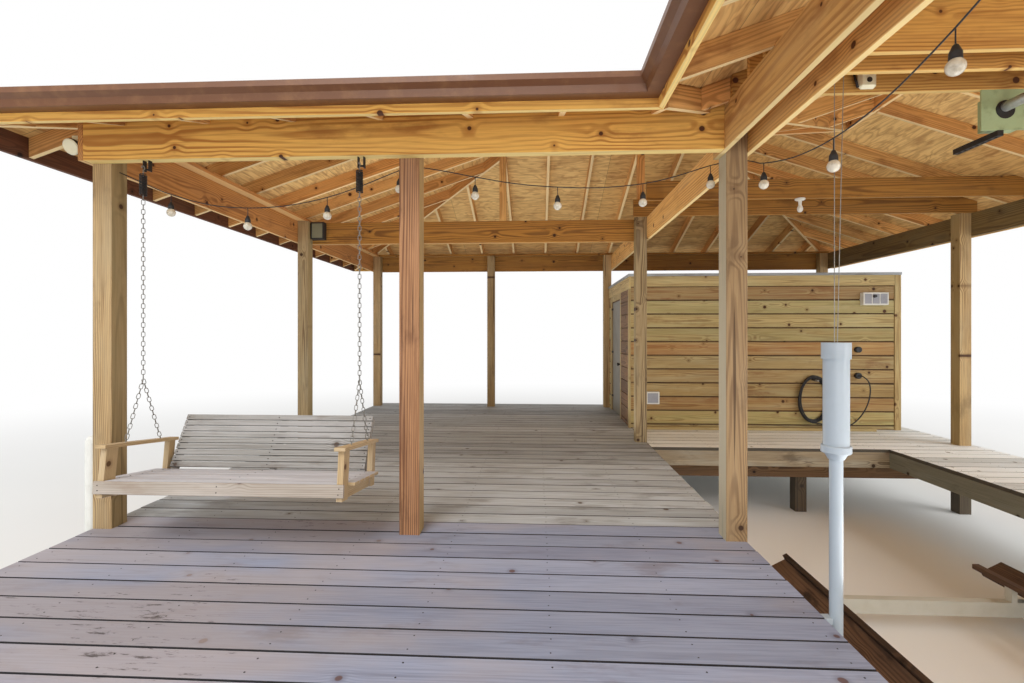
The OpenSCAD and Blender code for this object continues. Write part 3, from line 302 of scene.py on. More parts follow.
def plywood(name, alongX):
    # sheathing under the roof: sheets with butt joints, face grain along the eaves
    ink = Ink(name)
    x, y, z = ink.parts(ink.place())
    run, rise = (x, y) if alongX else (y, x)
    sheet = ink.join(ink.math("FLOOR", run / 2.44) * 3.1, ink.math("FLOOR", rise / 1.16) * 1.7, 0.0)
    hue = ink.get("ShaderNodeTexWhiteNoise", {"noise_dimensions": "3D"}, {"Vector": sheet})
    swirl = ink.noise(ink.join(run * 0.7 + hue * 5.0, rise * 2.6, 0.0), 2.0, 2.0, 0.5, 0.3)
    rings = ink.sine((swirl + rise * 0.1) * 58.0) * 0.5 + 0.5
    blots = ink.noise(ink.join(run * 2.0, rise * 5.0, z), 1.6, 4.0, 0.65)
    fibres = ink.noise(ink.join(run * 3.0, rise * 34.0, z * 34.0), 1.0, 3.0, 0.6)
    dashes = ink.noise(ink.join(run * 7.0, rise * 30.0, 0.0), 1.0, 2.0, 0.5)
    body = ink.mix(hue, tone("f2ce8a"), tone("e0b470"))
    body = ink.tint(body, rings, 0.5, 0.98, 0.35, tone("a66e3a"))
    body = ink.tint(body, blots, 0.50, 0.72, 0.5, tone("a06c3e"))
    body = ink.tint(body, fibres, 0.42, 0.74, 0.5, tone("966234"))
    body = ink.tint(body, dashes, 0.68, 0.76, 0.25, tone("704626"))
    gapRun = ink.math("PINGPONG", run, 1.22)
    gapRise = ink.math("PINGPONG", rise, 0.58)
    joint = ink.step(ink.math("MINIMUM", gapRun, gapRise), 0.004, 0.0)
    body = ink.mix(joint * 0.7, body, tone("462a18"))
    return ink.finish(body, 0.7 + fibres * 0.1, fibres - joint, bump=0.2, depth=0.001, specular=0.3)


def shingleMaterial(name):
    ink = Ink(name)
    where = ink.place()
    seed = ink.stored("seed")
    grit = ink.noise(where, 260.0, 3.0, 0.7)
    cloud = ink.noise(where, 1.3, 3.0, 0.6)
    body = ink.mix(seed, tone("5c4c40"), tone("7e6a58"))
    body = ink.tint(body, ink.math("FRACT", seed * 9.7), 0.6, 0.9, 0.6, tone("463c36"))
    body = ink.tint(body, grit, 0.45, 0.7, 0.35, tone("a09282"))
    body = ink.tint(body, cloud, 0.5, 0.8, 0.25, tone("54544a"))
    return ink.finish(body, 0.92, grit, bump=0.5, depth=0.0015, specular=0.2)


def galvanisedMetal(name):
    ink = Ink(name)
    where = ink.place()
    spangle = ink.get("ShaderNodeTexVoronoi", None, {"Vector": where, "Scale": 70.0}, "Color")
    hue = ink.parts(spangle)[0]
    grime = ink.noise(where, 6.0, 4.0, 0.65)
    body = ink.mix(hue * 0.5, tone("b0b2b0"), tone("ced0ce"))
    body = ink.tint(body, grime, 0.52, 0.8, 0.5, tone("847a68"))
    return ink.finish(body, 0.42 + hue * 0.14, grime, bump=0.1, depth=0.001, metallic=0.75)


# colour, roughness, worn colour and how much of it
paints = {
    "gutterBrown": ("6c4224", 0.38, "8e643c", 0.5, dict(coat=0.1)),
    "doorGrey": ("706854", 0.42, "5a4c34", 0.6, dict(speckle=3.0)),
    "pipeWhite": ("b0bcc6", 0.32, "9eaab0", 0.4, dict(coat=0.15, speckle=4.0)),
    "cleanWhite": ("e4e4de", 0.35, "c4c2b8", 0.4, dict(speckle=12.0)),
    "bulbGlass": ("ded6c2", 0.12, "968468", 0.7, dict(coat=0.6, speckle=34.0)),
    "creamGlass": ("e4debe", 0.25, "cec49e", 0.4, dict(coat=0.4, speckle=25.0)),
    "steel": ("96948e", 0.42, "7a5c42", 0.5, dict(metallic=0.8, speckle=30.0)),
    "blackIron": ("2e2c2a", 0.5, "5c4232", 0.4, dict(metallic=0.5, speckle=30.0)),
    "gearGreen": ("9eac80", 0.5, "626842", 0.8, dict(speckle=14.0)),
    "chainGrey": ("84827c", 0.5, "685442", 0.5, dict(metallic=0.5, speckle=40.0)),
    "cradleMetal": ("d0cec2", 0.45, "b8b29e", 0.3, dict(metallic=0.2)),
    "boxGrey": ("9ea0a8", 0.45, "7c7c7e", 0.4, dict()),
    "boxGreen": ("80826c", 0.5, "626250", 0.5, dict()),
    "blackPlastic": ("222224", 0.45, "3a3a3a", 0.3, dict()),
}
finishes = {name: wood(name, *values, **more) for name, (*values, more) in woods.items()}
finishes.update({name: paint(name, *values, **more) for name, (*values, more) in paints.items()})
finishes["plywoodWide"] = plywood("plywoodWide", True)
finishes["plywoodDeep"] = plywood("plywoodDeep", False)
finishes["shingle"] = shingleMaterial("shingle")
finishes["galvanised"] = galvanisedMetal("galvanised")
print("materials:", len(finishes))


# Making pieces

def newPiece(name, mesh, material=None):
    piece = bpy.data.objects.new(name, mesh)
    bpy.context.scene.collection.objects.link(piece)
    if material:
        mesh.materials.clear()
        mesh.materials.append(finishes[material])
    return piece


def done(piece, body=house, instead=()):
    if piece.modifiers:
        raise RuntimeError("a modifier is left on " + piece.name)
    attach(piece, body)
    if instead:
        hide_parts(*instead)
    return piece


def meshOf(name, make, source=None, smooth=False):
    # the mesh that make builds, from nothing or from a source
    work = bmesh.new()
    if source:
        work.from_mesh(source)
    make(work)
    mesh = bpy.data.meshes.new(name)
    work.to_mesh(mesh)
    work.free()
    if smooth:
        for polygon in mesh.polygons:
            polygon.use_smooth = True
    return mesh


def applied(piece):
    # the evaluated mesh as a plain one, with its modifiers removed
    graph = bpy.context.evaluated_depsgraph_get()
    mesh = bpy.data.meshes.new_from_object(piece.evaluated_get(graph), preserve_all_data_layers=True,
                                           depsgraph=graph)
    piece.modifiers.clear()
    piece.data = mesh


def storeGrain(mesh, frames, seeds=None):
    # frames: for each vertex its place along, across and through its board
    grain = mesh.attributes.new("grain", "FLOAT_VECTOR", "POINT")
    grain.data.foreach_set("vector", [value for place in frames for value in place])
    if seeds:
        mesh.attributes.new("seed", "FLOAT", "POINT").data.foreach_set("value", seeds)


def storeFaces(mesh, name, test):
    mask = mesh.attributes.new(name, "FLOAT", "FACE")
    mask.data.foreach_set("value", [float(test(polygon.normal)) for polygon in mesh.polygons])


def corners(points):
    # the lowest and highest corner of some points
    return [Vector([pick(point[axis] for point in points) for axis in range(3)]) for pick in (min, max)]


def islands(mesh):
    links = [[] for _ in mesh.vertices]
    for edge in mesh.edges:
        a, b = edge.vertices
        links[a].append(b)
        links[b].append(a)
    seen = [False] * len(links)
    groups = []
    for start in range(len(links)):
        if seen[start]:
            continue
        seen[start] = True
        group = [start]
        for vertex in group:
            for other in links[vertex]:
                if not seen[other]:
                    seen[other] = True
                    group.append(other)
        groups.append(group)
    return groups


def boardFrame(mesh, group, polygons):
    # length along the longest edge, thickness along the normal of the largest face beside it
    points = [mesh.vertices[k].co for k in group]
    middle = sum(points, Vector()) / len(points)
    edges = [mesh.vertices[b].co - mesh.vertices[a].co for polygon in polygons
             for a, b in polygon.edge_keys]
    length = max(edges, key=lambda edge: edge.length_squared).normalized()
    sides = [polygon for polygon in polygons if abs(polygon.normal.dot(length)) < 0.5]
    through = max(sides, key=lambda polygon: polygon.area).normal.copy()
    across = through.cross(length).normalized()
    return middle, length, across, through


def storeBoards(mesh, salt):
    # every loose solid of the mesh gets its own grain, turned along its length
    groups = islands(mesh)
    owner = [0] * len(mesh.vertices)
    for k, group in enumerate(groups):
        for vertex in group:
            owner[vertex] = k
    faces = [[] for _ in groups]
    for polygon in mesh.polygons:
        faces[owner[polygon.vertices[0]]].append(polygon)
    draw = random.Random(salt)
    places = [None] * len(mesh.vertices)
    seeds = [0.0] * len(mesh.vertices)
    for group, polygons in zip(groups, faces):
        middle, length, across, through = boardFrame(mesh, group, polygons)
        seed = draw.random()
        for vertex in group:
            gap = mesh.vertices[vertex].co - middle
            places[vertex] = (gap.dot(length), gap.dot(across), gap.dot(through))
            seeds[vertex] = seed
    storeGrain(mesh, places, seeds)
    return groups


def cleanCopy(node):
    # a copy of a CAD node with its doubles merged and its flat faces whole
    def merge(work):
        bmesh.ops.remove_doubles(work, verts=work.verts, dist=0.00002)
        bmesh.ops.dissolve_limit(work, angle_limit=math.radians(0.5), verts=work.verts, edges=work.edges)
    return meshOf("timber_" + node, merge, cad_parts[node].data)


def dress(node, material, body=house, ease=0.003, salt=0, choose=None):
    # a timber node again, with eased edges and grain along every piece; choose(middle, size) may
    # name another finish for single solids
    mesh = cleanCopy(node)
    groups = storeBoards(mesh, salt + len(node))
    piece = newPiece("timber_" + node, mesh, material)
    if choose:
        slots = {material: 0}
        owner = {}
        for group in groups:
            low, high = corners([mesh.vertices[k].co for k in group])
            name = choose((low + high) / 2, high - low) or material
            if name not in slots:
                slots[name] = len(slots)
                mesh.materials.append(finishes[name])
            owner.update((vertex, slots[name]) for vertex in group)
        for polygon in mesh.polygons:
            polygon.material_index = owner[polygon.vertices[0]]
    bevel = piece.modifiers.new("ease", "BEVEL")
    bevel.width = ease
    bevel.segments = 1
    bevel.limit_method = "ANGLE"
    bevel.angle_limit = math.radians(50)
    applied(piece)
    # masks for the painted light under the pieces and the painted light and shade on their sides
    storeFaces(piece.data, "under", lambda normal: normal.z < -0.8)
    storeFaces(piece.data, "beside", lambda normal: abs(normal.x) > 0.8)
    return done(piece, body, instead=[node])


def postFinish(middle, size):
    # front row: the second post is browner, the third has painted light on its left; two of the next row are
    # darker, as painted shade
    if abs(middle.y + 0.04) < 0.1 and size.z > 1:
        if abs(middle.x + 1.92) < 0.05:
            return "postBrown"
        if 0 < middle.x < 1:
            return "postPale"
    if abs(middle.y - 3.01) < 0.1 and (abs(middle.x - 0.288) < 0.1 or middle.x < -4) and size.z > 1:
        return "postShade"
    return None


arms = {"above": 1.22, "out": 0.72}


def swingSeat(piece):
    # one solid of many boards: grain along each face's longest edge, arms of another wood
    mesh = piece.data
    mesh.materials.append(finishes["armWood"])
    mesh.attributes.remove(mesh.attributes["grain"])
    middle = (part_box("swing_seat")[0][0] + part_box("swing_seat")[1][0]) / 2
    places = [0.0] * (3 * len(mesh.loops))
    for polygon in mesh.polygons:
        here = polygon.center
        polygon.material_index = int(here.z > arms["above"] and abs(here.x - middle) > arms["out"])
        points = [mesh.vertices[k].co for k in polygon.vertices]
        length = max((b - a for a, b in zip(points, points[1:] + points[:1])),
                     key=lambda edge: edge.length_squared).normalized()
        across = polygon.normal.cross(length)
        for loop, point in zip(polygon.loop_indices, points):
            places[3 * loop:3 * loop + 3] = (point.dot(length), point.dot(across), 0.0)
    grain = mesh.attributes.new("grain", "FLOAT_VECTOR", "CORNER")
    grain.data.foreach_set("vector", places)


choices = {
    "deck_posts": postFinish, "slip_left_posts": postFinish, "slip_right_posts": postFinish,
    "fascia": lambda middle, size: "brownWood" if middle.x < -4.5 else "tieWood" if middle.x > 4.5 else None,
    "pier_joists": lambda middle, size: "joistWood" if size.y > 3 else "rimWood",
    "slip_beams": lambda middle, size: "oliveBeam" if middle.x > 4.2 else None,
    "slip_ties": lambda middle, size: "shadeBeam" if middle.y > 1 else None,
}
timbers = [
    ("postWood", "deck_posts slip_left_posts slip_right_posts short_piles"),
    ("girderWood", "deck_joists pier_joists deck_girders"),
    ("beamWood", "front_beam"), ("shadeBeam", "mid_beam back_beam"), ("tanBeam", "left_beam"),
    ("paleBeam", "slip_beams"), ("tieWood", "slip_ties"),
    ("rafterWood", "king_posts wing_rafters slip_rafters hip_rafters ridge_boards"),
    ("beamWood", "fascia"), ("bunkWood", "lift_bunks"), ("trimWood", "shed_trim"),
]
timbers = [(node, material) for material, nodes in timbers for node in nodes.split()]
for salt, (node, material) in enumerate(timbers):
    dress(node, material, salt=salt * 17, choose=choices.get(node))
print("timbers:", len(timbers))


# Repeats: one tree lays copies of a template piece in rows

def rowsTree():
    tree = bpy.data.node_groups.new("rows", "GeometryNodeTree")
    face = tree.interface
    face.new_socket("Geometry", in_out="INPUT", socket_type="NodeSocketGeometry")
    sizes = {"Template": "NodeSocketObject", "Columns": "NodeSocketInt", "Rows": "NodeSocketInt",
             "Column step": "NodeSocketFloat", "Row step": "NodeSocketFloat", "Stagger": "NodeSocketFloat",
             "Jitter": "NodeSocketVector", "Tilt": "NodeSocketVector", "Seed": "NodeSocketInt",
             "Finish": "NodeSocketMaterial"}
    for name, kind in sizes.items():
        face.new_socket(name, in_out="INPUT", socket_type=kind)
    face.new_socket("Geometry", in_out="OUTPUT", socket_type="NodeSocketGeometry")
    wires = Wires(tree)
    start = wires.add("NodeGroupInput")

    def given(name):
        return wires.out(start, name)

    index = wires.get("GeometryNodeInputIndex")
    column = wires.math("MODULO", index, given("Columns"))
    row = wires.math("FLOOR", wires.math("DIVIDE", index, given("Columns")))
    shift = wires.math("MODULO", row, 2.0) * given("Stagger")
    place = wires.join(column * given("Column step") + shift, row * given("Row step"), 0.0)

    def scatter(limits, extra):
        seed = wires.math("ADD", given("Seed"), extra)
        low = wires.get("ShaderNodeVectorMath", {"operation": "SCALE"}, {0: limits, "Scale": -1.0})
        return wires.get("FunctionNodeRandomValue", {"data_type": "FLOAT_VECTOR"},
                         {0: low, 1: limits, 8: seed})

    place = wires.get("ShaderNodeVectorMath", {"operation": "ADD"},
                      {0: place, 1: scatter(given("Jitter"), 1.0)})
    points = wires.get("GeometryNodePoints", None,
                       {"Count": wires.math("MULTIPLY", given("Columns"), given("Rows")), "Position": place})
    template = wires.get("GeometryNodeObjectInfo", None, {"Object": given("Template")}, "Geometry")
    laid = wires.get("GeometryNodeInstanceOnPoints", None,
                     {"Points": points, "Instance": template, "Rotation": scatter(given("Tilt"), 2.0)})
    draw = wires.get("FunctionNodeRandomValue", {"data_type": "FLOAT"}, {2: 0.0, 3: 1.0, 8: given("Seed")}, 1)
    named = wires.get("GeometryNodeStoreNamedAttribute", {"data_type": "FLOAT", "domain": "INSTANCE"},
                      {"Geometry": laid, "Name": "seed", "Value": draw})
    whole = wires.get("GeometryNodeRealizeInstances", None, {"Geometry": named})
    painted = wires.get("GeometryNodeSetMaterial", None, {"Geometry": whole, "Material": given("Finish")})
    wires.add("NodeGroupOutput", None, {0: painted})
    return tree


rows = rowsTree()


def template(name, make):
    # a hidden mesh object that the rows copy
    mesh = meshOf(name, make)
    storeGrain(mesh, [tuple(vertex.co) for vertex in mesh.vertices])
    # board sides: where the painted shade of the gaps goes
    storeFaces(mesh, "gapShade", lambda normal: abs(normal.z) < 0.95)
    return bpy.data.objects.new(name, mesh)


def boxMesh(work, low, high, ease=0.0, along=None):
    middle = (Vector(low) + Vector(high)) / 2
    size = Vector(high) - Vector(low)
    made = bmesh.ops.create_cube(work, size=1.0)
    bmesh.ops.scale(work, vec=size, verts=made["verts"])
    bmesh.ops.translate(work, vec=middle, verts=made["verts"])
    if ease:
        edges = {edge for vertex in made["verts"] for edge in vertex.link_edges}
        if along is not None:
            edges = {edge for edge in edges
                     if abs((edge.verts[0].co - edge.verts[1].co).normalized()[along]) > 0.9}
        bmesh.ops.bevel(work, geom=list(edges), offset=ease, segments=1, affect="EDGES")


def board(length, width, thick, ease=0.003):
    return lambda work: boxMesh(work, (-length / 2, -width / 2, -thick / 2),
                                (length / 2, width / 2, thick / 2), ease, 0)


def lay(name, source, material, matrix, columns=1, count=1, columnStep=0.0, rowStep=0.0, stagger=0.0,
        jitter=(0, 0, 0), tilt=(0, 0, 0), seed=0, body=house, instead=()):
    piece = newPiece(name, bpy.data.meshes.new(name))
    modifier = piece.modifiers.new("rows", "NODES")
    modifier.node_group = rows
    values = {"Template": source, "Columns": columns, "Rows": count, "Column step": columnStep,
              "Row step": rowStep, "Stagger": stagger, "Jitter": jitter, "Tilt": tilt, "Seed": seed,
              "Finish": finishes[material]}
    for item in rows.interface.items_tree:
        if item.in_out == "INPUT" and item.name in values:
            value = values[item.name]
            if isinstance(value, tuple):
                for k in range(3):
                    modifier[item.identifier][k] = value[k]
            else:
                modifier[item.identifier] = value
    piece.update_tag()
    applied(piece)
    piece.data.transform(matrix)
    return done(piece, body, instead)


def axes(origin, x=(1, 0, 0), y=(0, 0, 1)):
    # the frame whose x and y run along two unit directions
    x = Vector(x).normalized()
    y = Vector(y).normalized()
    matrix = Matrix((x, y, x.cross(y))).transposed().to_4x4()
    matrix.translation = Vector(origin)
    return matrix


# Deck boards in place of the plain decks

decks = {"pitch": 0.190, "gap": 0.007, "ease": 0.003, "under": 0.0012, "shift": 0.004, "lift": 0.0006,
         "screw": 0.0045, "head": 0.0016, "end": 0.08, "spacing": 0.6, "rows": (-0.25, 0.25)}


def deckBoards(node, material, seed):
    low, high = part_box(node)
    count = round((high[1] - low[1]) / decks["pitch"])
    pitch = (high[1] - low[1]) / count
    length = high[0] - low[0] - 2 * decks["shift"]
    plank = board(length, pitch - decks["gap"], high[2] - low[2] - decks["under"], decks["ease"])
    origin = ((low[0] + high[0]) / 2, low[1] + pitch / 2, (low[2] + high[2]) / 2)
    lay("boards_" + node, template("board_" + node, plank), material, axes(origin, y=(0, 1, 0)), count=count,
        rowStep=pitch, seed=seed, jitter=(decks["shift"], 0.0008, decks["lift"]), tilt=(0.0, 0.0, 0.0004),
        instead=[node])
    return pitch, count


def disc(radius, height, sides=8):
    return lambda work: bmesh.ops.create_cone(work, cap_ends=True, segments=sides, radius1=radius,
                                              radius2=radius * 0.8, depth=height)


def deckScrews(node, pitch, count, seed):
    low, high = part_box(node)
    source = template("screw_" + node, disc(decks["screw"], decks["head"]))
    span = high[0] - low[0] - 2 * decks["end"]
    columns = max(2, round(span / decks["spacing"]) + 1)
    step = span / (columns - 1)
    for k, side in enumerate(decks["rows"]):
        origin = (low[0] + decks["end"], low[1] + pitch * (0.5 + side), high[2] - decks["head"] / 4)
        lay("screws_%s_%d" % (node, k), source, "blackIron", axes(origin, y=(0, 1, 0)), columns=columns,
            count=count, columnStep=step, rowStep=pitch, jitter=(0.006, 0.006, 0.0), seed=seed + k)


for seed, (node, material) in enumerate([("front_deck", "frontBoards"), ("rear_deck", "greyBoards"),
                                         ("walkway", "walkBoards"), ("finger_pier", "walkBoards")]):
    pitch, count = deckBoards(node, material, seed * 5 + 3)
    deckScrews(node, pitch, count, seed * 7 + 50)
print("decks laid")


# Shed: board siding on the outer faces; then the swing's seat and back

shed = {"course": 0.2014, "first": 0.064, "band": 0.152, "thick": 0.019, "gap": 0.012, "corner": 0.092,
        "capped": 0.151, "least": 0.03, "slack": 0.001, "strip": 0.062}
wallLow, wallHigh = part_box("shed_front_wall")
backLow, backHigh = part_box("shed_back_wall")


def siding(name, start, run, length, seed, cut=0.0, material="sidingWood"):
    # a narrow first course, whole courses above it and a band under the cap
    top = wallHigh[2] - wallLow[2] - cut
    whole = int((top - shed["first"] - shed["band"] * (cut == 0)) / shed["course"] + 0.5)
    heights = [(0.0, shed["first"]), (shed["first"] + whole * shed["course"], top)]
    middle = Vector(start) + Vector(run) * length / 2
    for k, (low, high) in enumerate(heights):
        if high - low > shed["least"]:
            plank = board(length, high - low - shed["gap"], shed["thick"])
            origin = middle + Vector((0, 0, (low + high) / 2))
            lay("%s_edge_%d" % (name, k), template("edge_%s_%d" % (name, k), plank), material,
                axes(origin, run), seed=seed + 40 + k)
    source = template("course_" + name, board(length, shed["course"] - shed["gap"], shed["thick"], 0.004))
    origin = middle + Vector((0, 0, shed["first"] + shed["course"] / 2))
    lay(name, source, material, axes(origin, run), count=whole, rowStep=shed["course"], seed=seed,
        jitter=(0.0, 0.0012, 0.0012), tilt=(0.0, 0.0, 0.0006))


face = shed["thick"] / 2
wide = wallHigh[0] - wallLow[0]
deep = backHigh[1] - wallLow[1]
siding("siding_front", (wallLow[0], wallLow[1] - face, wallLow[2]), (1, 0, 0), wide - shed["corner"], 21,
       cut=shed["capped"])
siding("siding_back", (backHigh[0], backHigh[1] + face, wallLow[2]), (-1, 0, 0), wide, 22)
siding("siding_right", (wallHigh[0] + face, wallLow[1], wallLow[2]), (0, 1, 0), deep, 23)
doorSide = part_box("door_wall_near")[0][0] - face
casingLow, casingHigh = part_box("door_casing")
overDoor = wallHigh[2] - casingHigh[2]
# the near door wall's siding takes the darker girder wood as painted shade
siding("siding_door_near", (doorSide, casingLow[1] - shed["slack"], wallLow[2]), (0, -1, 0),
       casingLow[1] - shed["strip"] - wallLow[1], 24, cut=overDoor, material="girderWood")
siding("siding_door_far", (doorSide, backHigh[1], wallLow[2]), (0, -1, 0),
       backHigh[1] - casingHigh[1] - shed["slack"], 25, cut=overDoor)
for name in ("shed_front_wall", "shed_back_wall", "shed_right_wall", "door_wall_near", "door_wall_far",
             "door_wall_over"):
    mesh = cleanCopy(name)
    storeBoards(mesh, 5)
    done(newPiece("core_" + name, mesh, "girderWood"), instead=[name])
dress("shed_top", "greyBoards", ease=0.004, salt=91)
dress("door_casing", "trimWood", ease=0.002, salt=94,
      choose=lambda middle, size: "steel" if max(size) < 0.12 else None)
dress("swing_back", "swingWood", "swing", ease=0.004, salt=92)
swingSeat(dress("swing_seat", "seatWood", "swing", ease=0.004, salt=93))
print("shed sided")


# Shingles: tabs in courses over every slope, cut at hips and the valley, caps along hips and ridges

shingles = {"tab": 0.305, "course": 0.143, "thick": 0.005, "overhang": 0.012, "cap": 0.15}


def tabShape(work):
    half = shingles["tab"] / 2 - 0.003
    deep = shingles["course"] * 1.25
    thick = shingles["thick"]
    low = [work.verts.new(place) for place in (
        (-half, 0, 0.0), (half, 0, 0.0), (half, deep, -0.003), (-half, deep, -0.003))]
    high = [work.verts.new(place) for place in (
        (-half, 0, 2 * thick), (half, 0, 2 * thick), (half, deep, 0.002), (-half, deep, 0.002))]
    work.faces.new(high)
    work.faces.new(low[::-1])
    for k in range(4):
        work.faces.new((low[k], low[(k + 1) % 4], high[(k + 1) % 4], high[k]))


def capShape(fall):
    def make(work):
        deep = shingles["course"] * 1.3
        wide = shingles["cap"]
        rings = []
        for x, lift in ((0.0, 0.012), (deep, 0.004)):
            line = [(-wide, 0.0), (0.0, 0.0), (wide, 0.0), (wide, 0.005), (0.0, 0.005), (-wide, 0.005)]
            rings.append([work.verts.new((x, y, lift + z - fall * abs(y))) for y, z in line])
        for k in range(6):
            j = (k + 1) % 6
            work.faces.new((rings[0][k], rings[1][k], rings[1][j], rings[0][j]))
        for ring in (rings[0], rings[1][::-1]):
            work.faces.new((ring[0], ring[1], ring[4], ring[5]))
            work.faces.new((ring[1], ring[2], ring[3], ring[4]))
        bmesh.ops.recalc_face_normals(work, faces=work.faces)
    return make


def clipped(piece, cuts):
    # the piece cut off at planes: a place on each and its outward normal
    work = bmesh.new()
    work.from_mesh(piece.data)
    for place, normal in cuts:
        bmesh.ops.bisect_plane(work, geom=work.verts[:] + work.edges[:] + work.faces[:], dist=0.0001,
                               plane_co=place, plane_no=normal, clear_outer=True)
    work.to_mesh(piece.data)
    work.free()


def slopeTop(node):
    mesh = cleanCopy(node)
    tops = [polygon for polygon in mesh.polygons if polygon.normal.z > 0.8]
    face = max(tops, key=lambda polygon: polygon.area)
    return [mesh.vertices[k].co.copy() for k in face.vertices], face.normal.copy()


def shingleSlope(node, outline, normal, seed):
    up = Vector((-normal.x, -normal.y, 0)).normalized()
    up.z = -normal.dot(up) / normal.z
    up.normalize()
    foot = min(outline, key=lambda point: point.z)
    start = axes(foot - up * shingles["overhang"], up.cross(normal), up)
    local = [start.inverted() @ point for point in outline]
    left = min(point.x for point in local)
    columns = math.ceil((max(point.x for point in local) - left) / shingles["tab"]) + 2
    count = math.ceil(max(point.y for point in local) / shingles["course"])
    piece = lay("shingles_" + node, template("tab_" + node, tabShape), "shingle",
                start @ Matrix.Translation((left, 0, 0)), columns=columns, count=count,
                columnStep=shingles["tab"], rowStep=shingles["course"], stagger=-shingles["tab"] / 2,
                jitter=(0.004, 0.003, 0.0006), tilt=(0.004, 0.0, 0.006), seed=seed)
    middle = sum(outline, Vector()) / len(outline)
    cuts = []
    for first, second in zip(outline, outline[1:] + outline[:1]):
        side = Vector((second.y - first.y, first.x - second.x, 0)).normalized()
        if side.dot(middle - first) > 0:
            side = -side
        if first.z < foot.z + 0.01 and second.z < foot.z + 0.01:
            first = first + side * shingles["overhang"]
        cuts.append((first, side))
    clipped(piece, cuts)


def capLine(name, low, high, normals, seed):
    direction = (high - low).normalized()
    across = Vector((0, 0, 1)).cross(direction).normalized()
    fall = abs(normals[0].dot(across)) / normals[0].dot(direction.cross(across))
    count = math.ceil((high - low).length / shingles["course"]) + 1
    piece = lay(name, template("cap_" + name, capShape(fall)), "shingle", axes(low, direction, across),
                columns=count, columnStep=shingles["course"], jitter=(0.002, 0.002, 0.0004), seed=seed)
    cuts = [(high + direction * 0.02, direction)]
    if high.z - low.z > 0.1:
        # a hip: its foot ends at the two eaves
        for normal in normals:
            away = Vector((normal.x, normal.y, 0)).normalized()
            cuts.append((low + away * shingles["overhang"], away))
    else:
        cuts.append((low - direction * 0.02, -direction))
    clipped(piece, cuts)


def shingleRoof():
    tops = {}
    for seed, node in enumerate(("roof_left", "roof_front", "roof_back", "roof_right", "slip_roof_left",
                                 "slip_roof_right", "slip_roof_water")):
        outline, normal = slopeTop(node)
        tops[node] = (outline, normal)
        shingleSlope(node, outline, normal, 300 + seed)
    sides = []
    for node, (outline, normal) in tops.items():
        middle = sum(outline, Vector()) / len(outline)
        for first, second in zip(outline, outline[1:] + outline[:1]):
            sides.append((first, second, normal, middle))
    lines = 0
    for k, (first, second, normal, middle) in enumerate(sides):
        for other in sides[k + 1:]:
            if (other[0] - second).length < 0.01 and (other[1] - first).length < 0.01:
                if (other[3] - first).dot(normal) < -0.02:
                    low, high = (first, second) if first.z < second.z else (second, first)
                    capLine("caps_%d" % lines, low, high, (normal, other[2]), 340 + lines)
                    lines += 1
    print("shingled slopes:", len(tops), "capped lines:", lines)


shingleRoof()


# Nodes that keep their shape and only get a finish

plain = {
    "plywoodDeep": "roof_left roof_right slip_roof_left slip_roof_right",
    "plywoodWide": "roof_front roof_back slip_roof_water",
    "gutterBrown": "gutter", "doorGrey": "shed_door", "blackIron": "door_hardware swing_hangers",
    "cradleMetal": "lift_cradle", "steel": "lift_ropes", "galvanised": "lift_drive",
    "gearGreen": "lift_gearbox", "pipeWhite": "guide_pipe", "cleanWhite": "ceiling_lamp dock_bumper",
    "blackPlastic": "string_bulbs",
}
for material, nodes in plain.items():
    for node in nodes.split():
        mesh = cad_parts[node].data
        mesh.materials.clear()
        mesh.materials.append(finishes[material])


# Solids of two finishes: copies whose faces change colour at a height or by solid

def twoTone(node, first, second, isSecond):
    # isSecond(polygon, low, high) says which faces take the second finish; the corners are the solid's
    mesh = cleanCopy(node)
    piece = newPiece("toned_" + node, mesh, first)
    mesh.materials.append(finishes[second])
    for group in islands(mesh):
        owner = set(group)
        low, high = corners([mesh.vertices[k].co for k in group])
        for polygon in mesh.polygons:
            if polygon.vertices[0] in owner:
                polygon.material_index = int(isSecond(polygon, low, high))
                polygon.use_smooth = False
    return done(piece, instead=[node])


def lathe(work, profile, place, sides):
    # a closed turned form about an upright axis; the profile starts and ends on it
    rings = []
    for radius, height in profile[1:-1]:
        ring = []
        for turn in [math.tau * k / sides for k in range(sides)]:
            point = Vector((radius * math.cos(turn), radius * math.sin(turn), height))
            ring.append(work.verts.new(place + point))
        rings.append(ring)
    first = work.verts.new(place + Vector((0, 0, profile[0][1])))
    last = work.verts.new(place + Vector((0, 0, profile[-1][1])))
    for k in range(sides):
        j = (k + 1) % sides
        work.faces.new((first, rings[0][k], rings[0][j]))
        work.faces.new((last, rings[-1][j], rings[-1][k]))
        for ring, after in zip(rings, rings[1:]):
            work.faces.new((ring[k], after[k], after[j], ring[j]))
    bmesh.ops.recalc_face_normals(work, faces=work.faces)


glass = {"radius": 0.0296, "neck": 0.0172, "top": -0.1033, "tall": 0.0546, "rings": 10, "sides": 24}


def bulbGlasses(work):
    # frosted bulbs over the CAD ones
    mesh = cleanCopy("string_bulbs")
    middle = glass["top"] - glass["tall"] + glass["radius"]
    start = math.asin(glass["neck"] / glass["radius"])
    profile = [(0.0, glass["top"]), (glass["neck"], glass["top"])]
    for k in range(glass["rings"]):
        angle = start + (math.pi - start) * (k + 0.35) / glass["rings"]
        profile.append((glass["radius"] * math.sin(angle), middle + glass["radius"] * math.cos(angle)))
    profile.append((0.0, middle - glass["radius"]))
    for group in islands(mesh):
        low, high = corners([mesh.vertices[k].co for k in group])
        lathe(work, profile, Vector(((low.x + high.x) / 2, (low.y + high.y) / 2, high.z)), glass["sides"])


collar = {"place": (0.424, -0.98, 1.6500), "radius": 0.0665, "tall": 0.038, "ease": 0.004, "sides": 48}


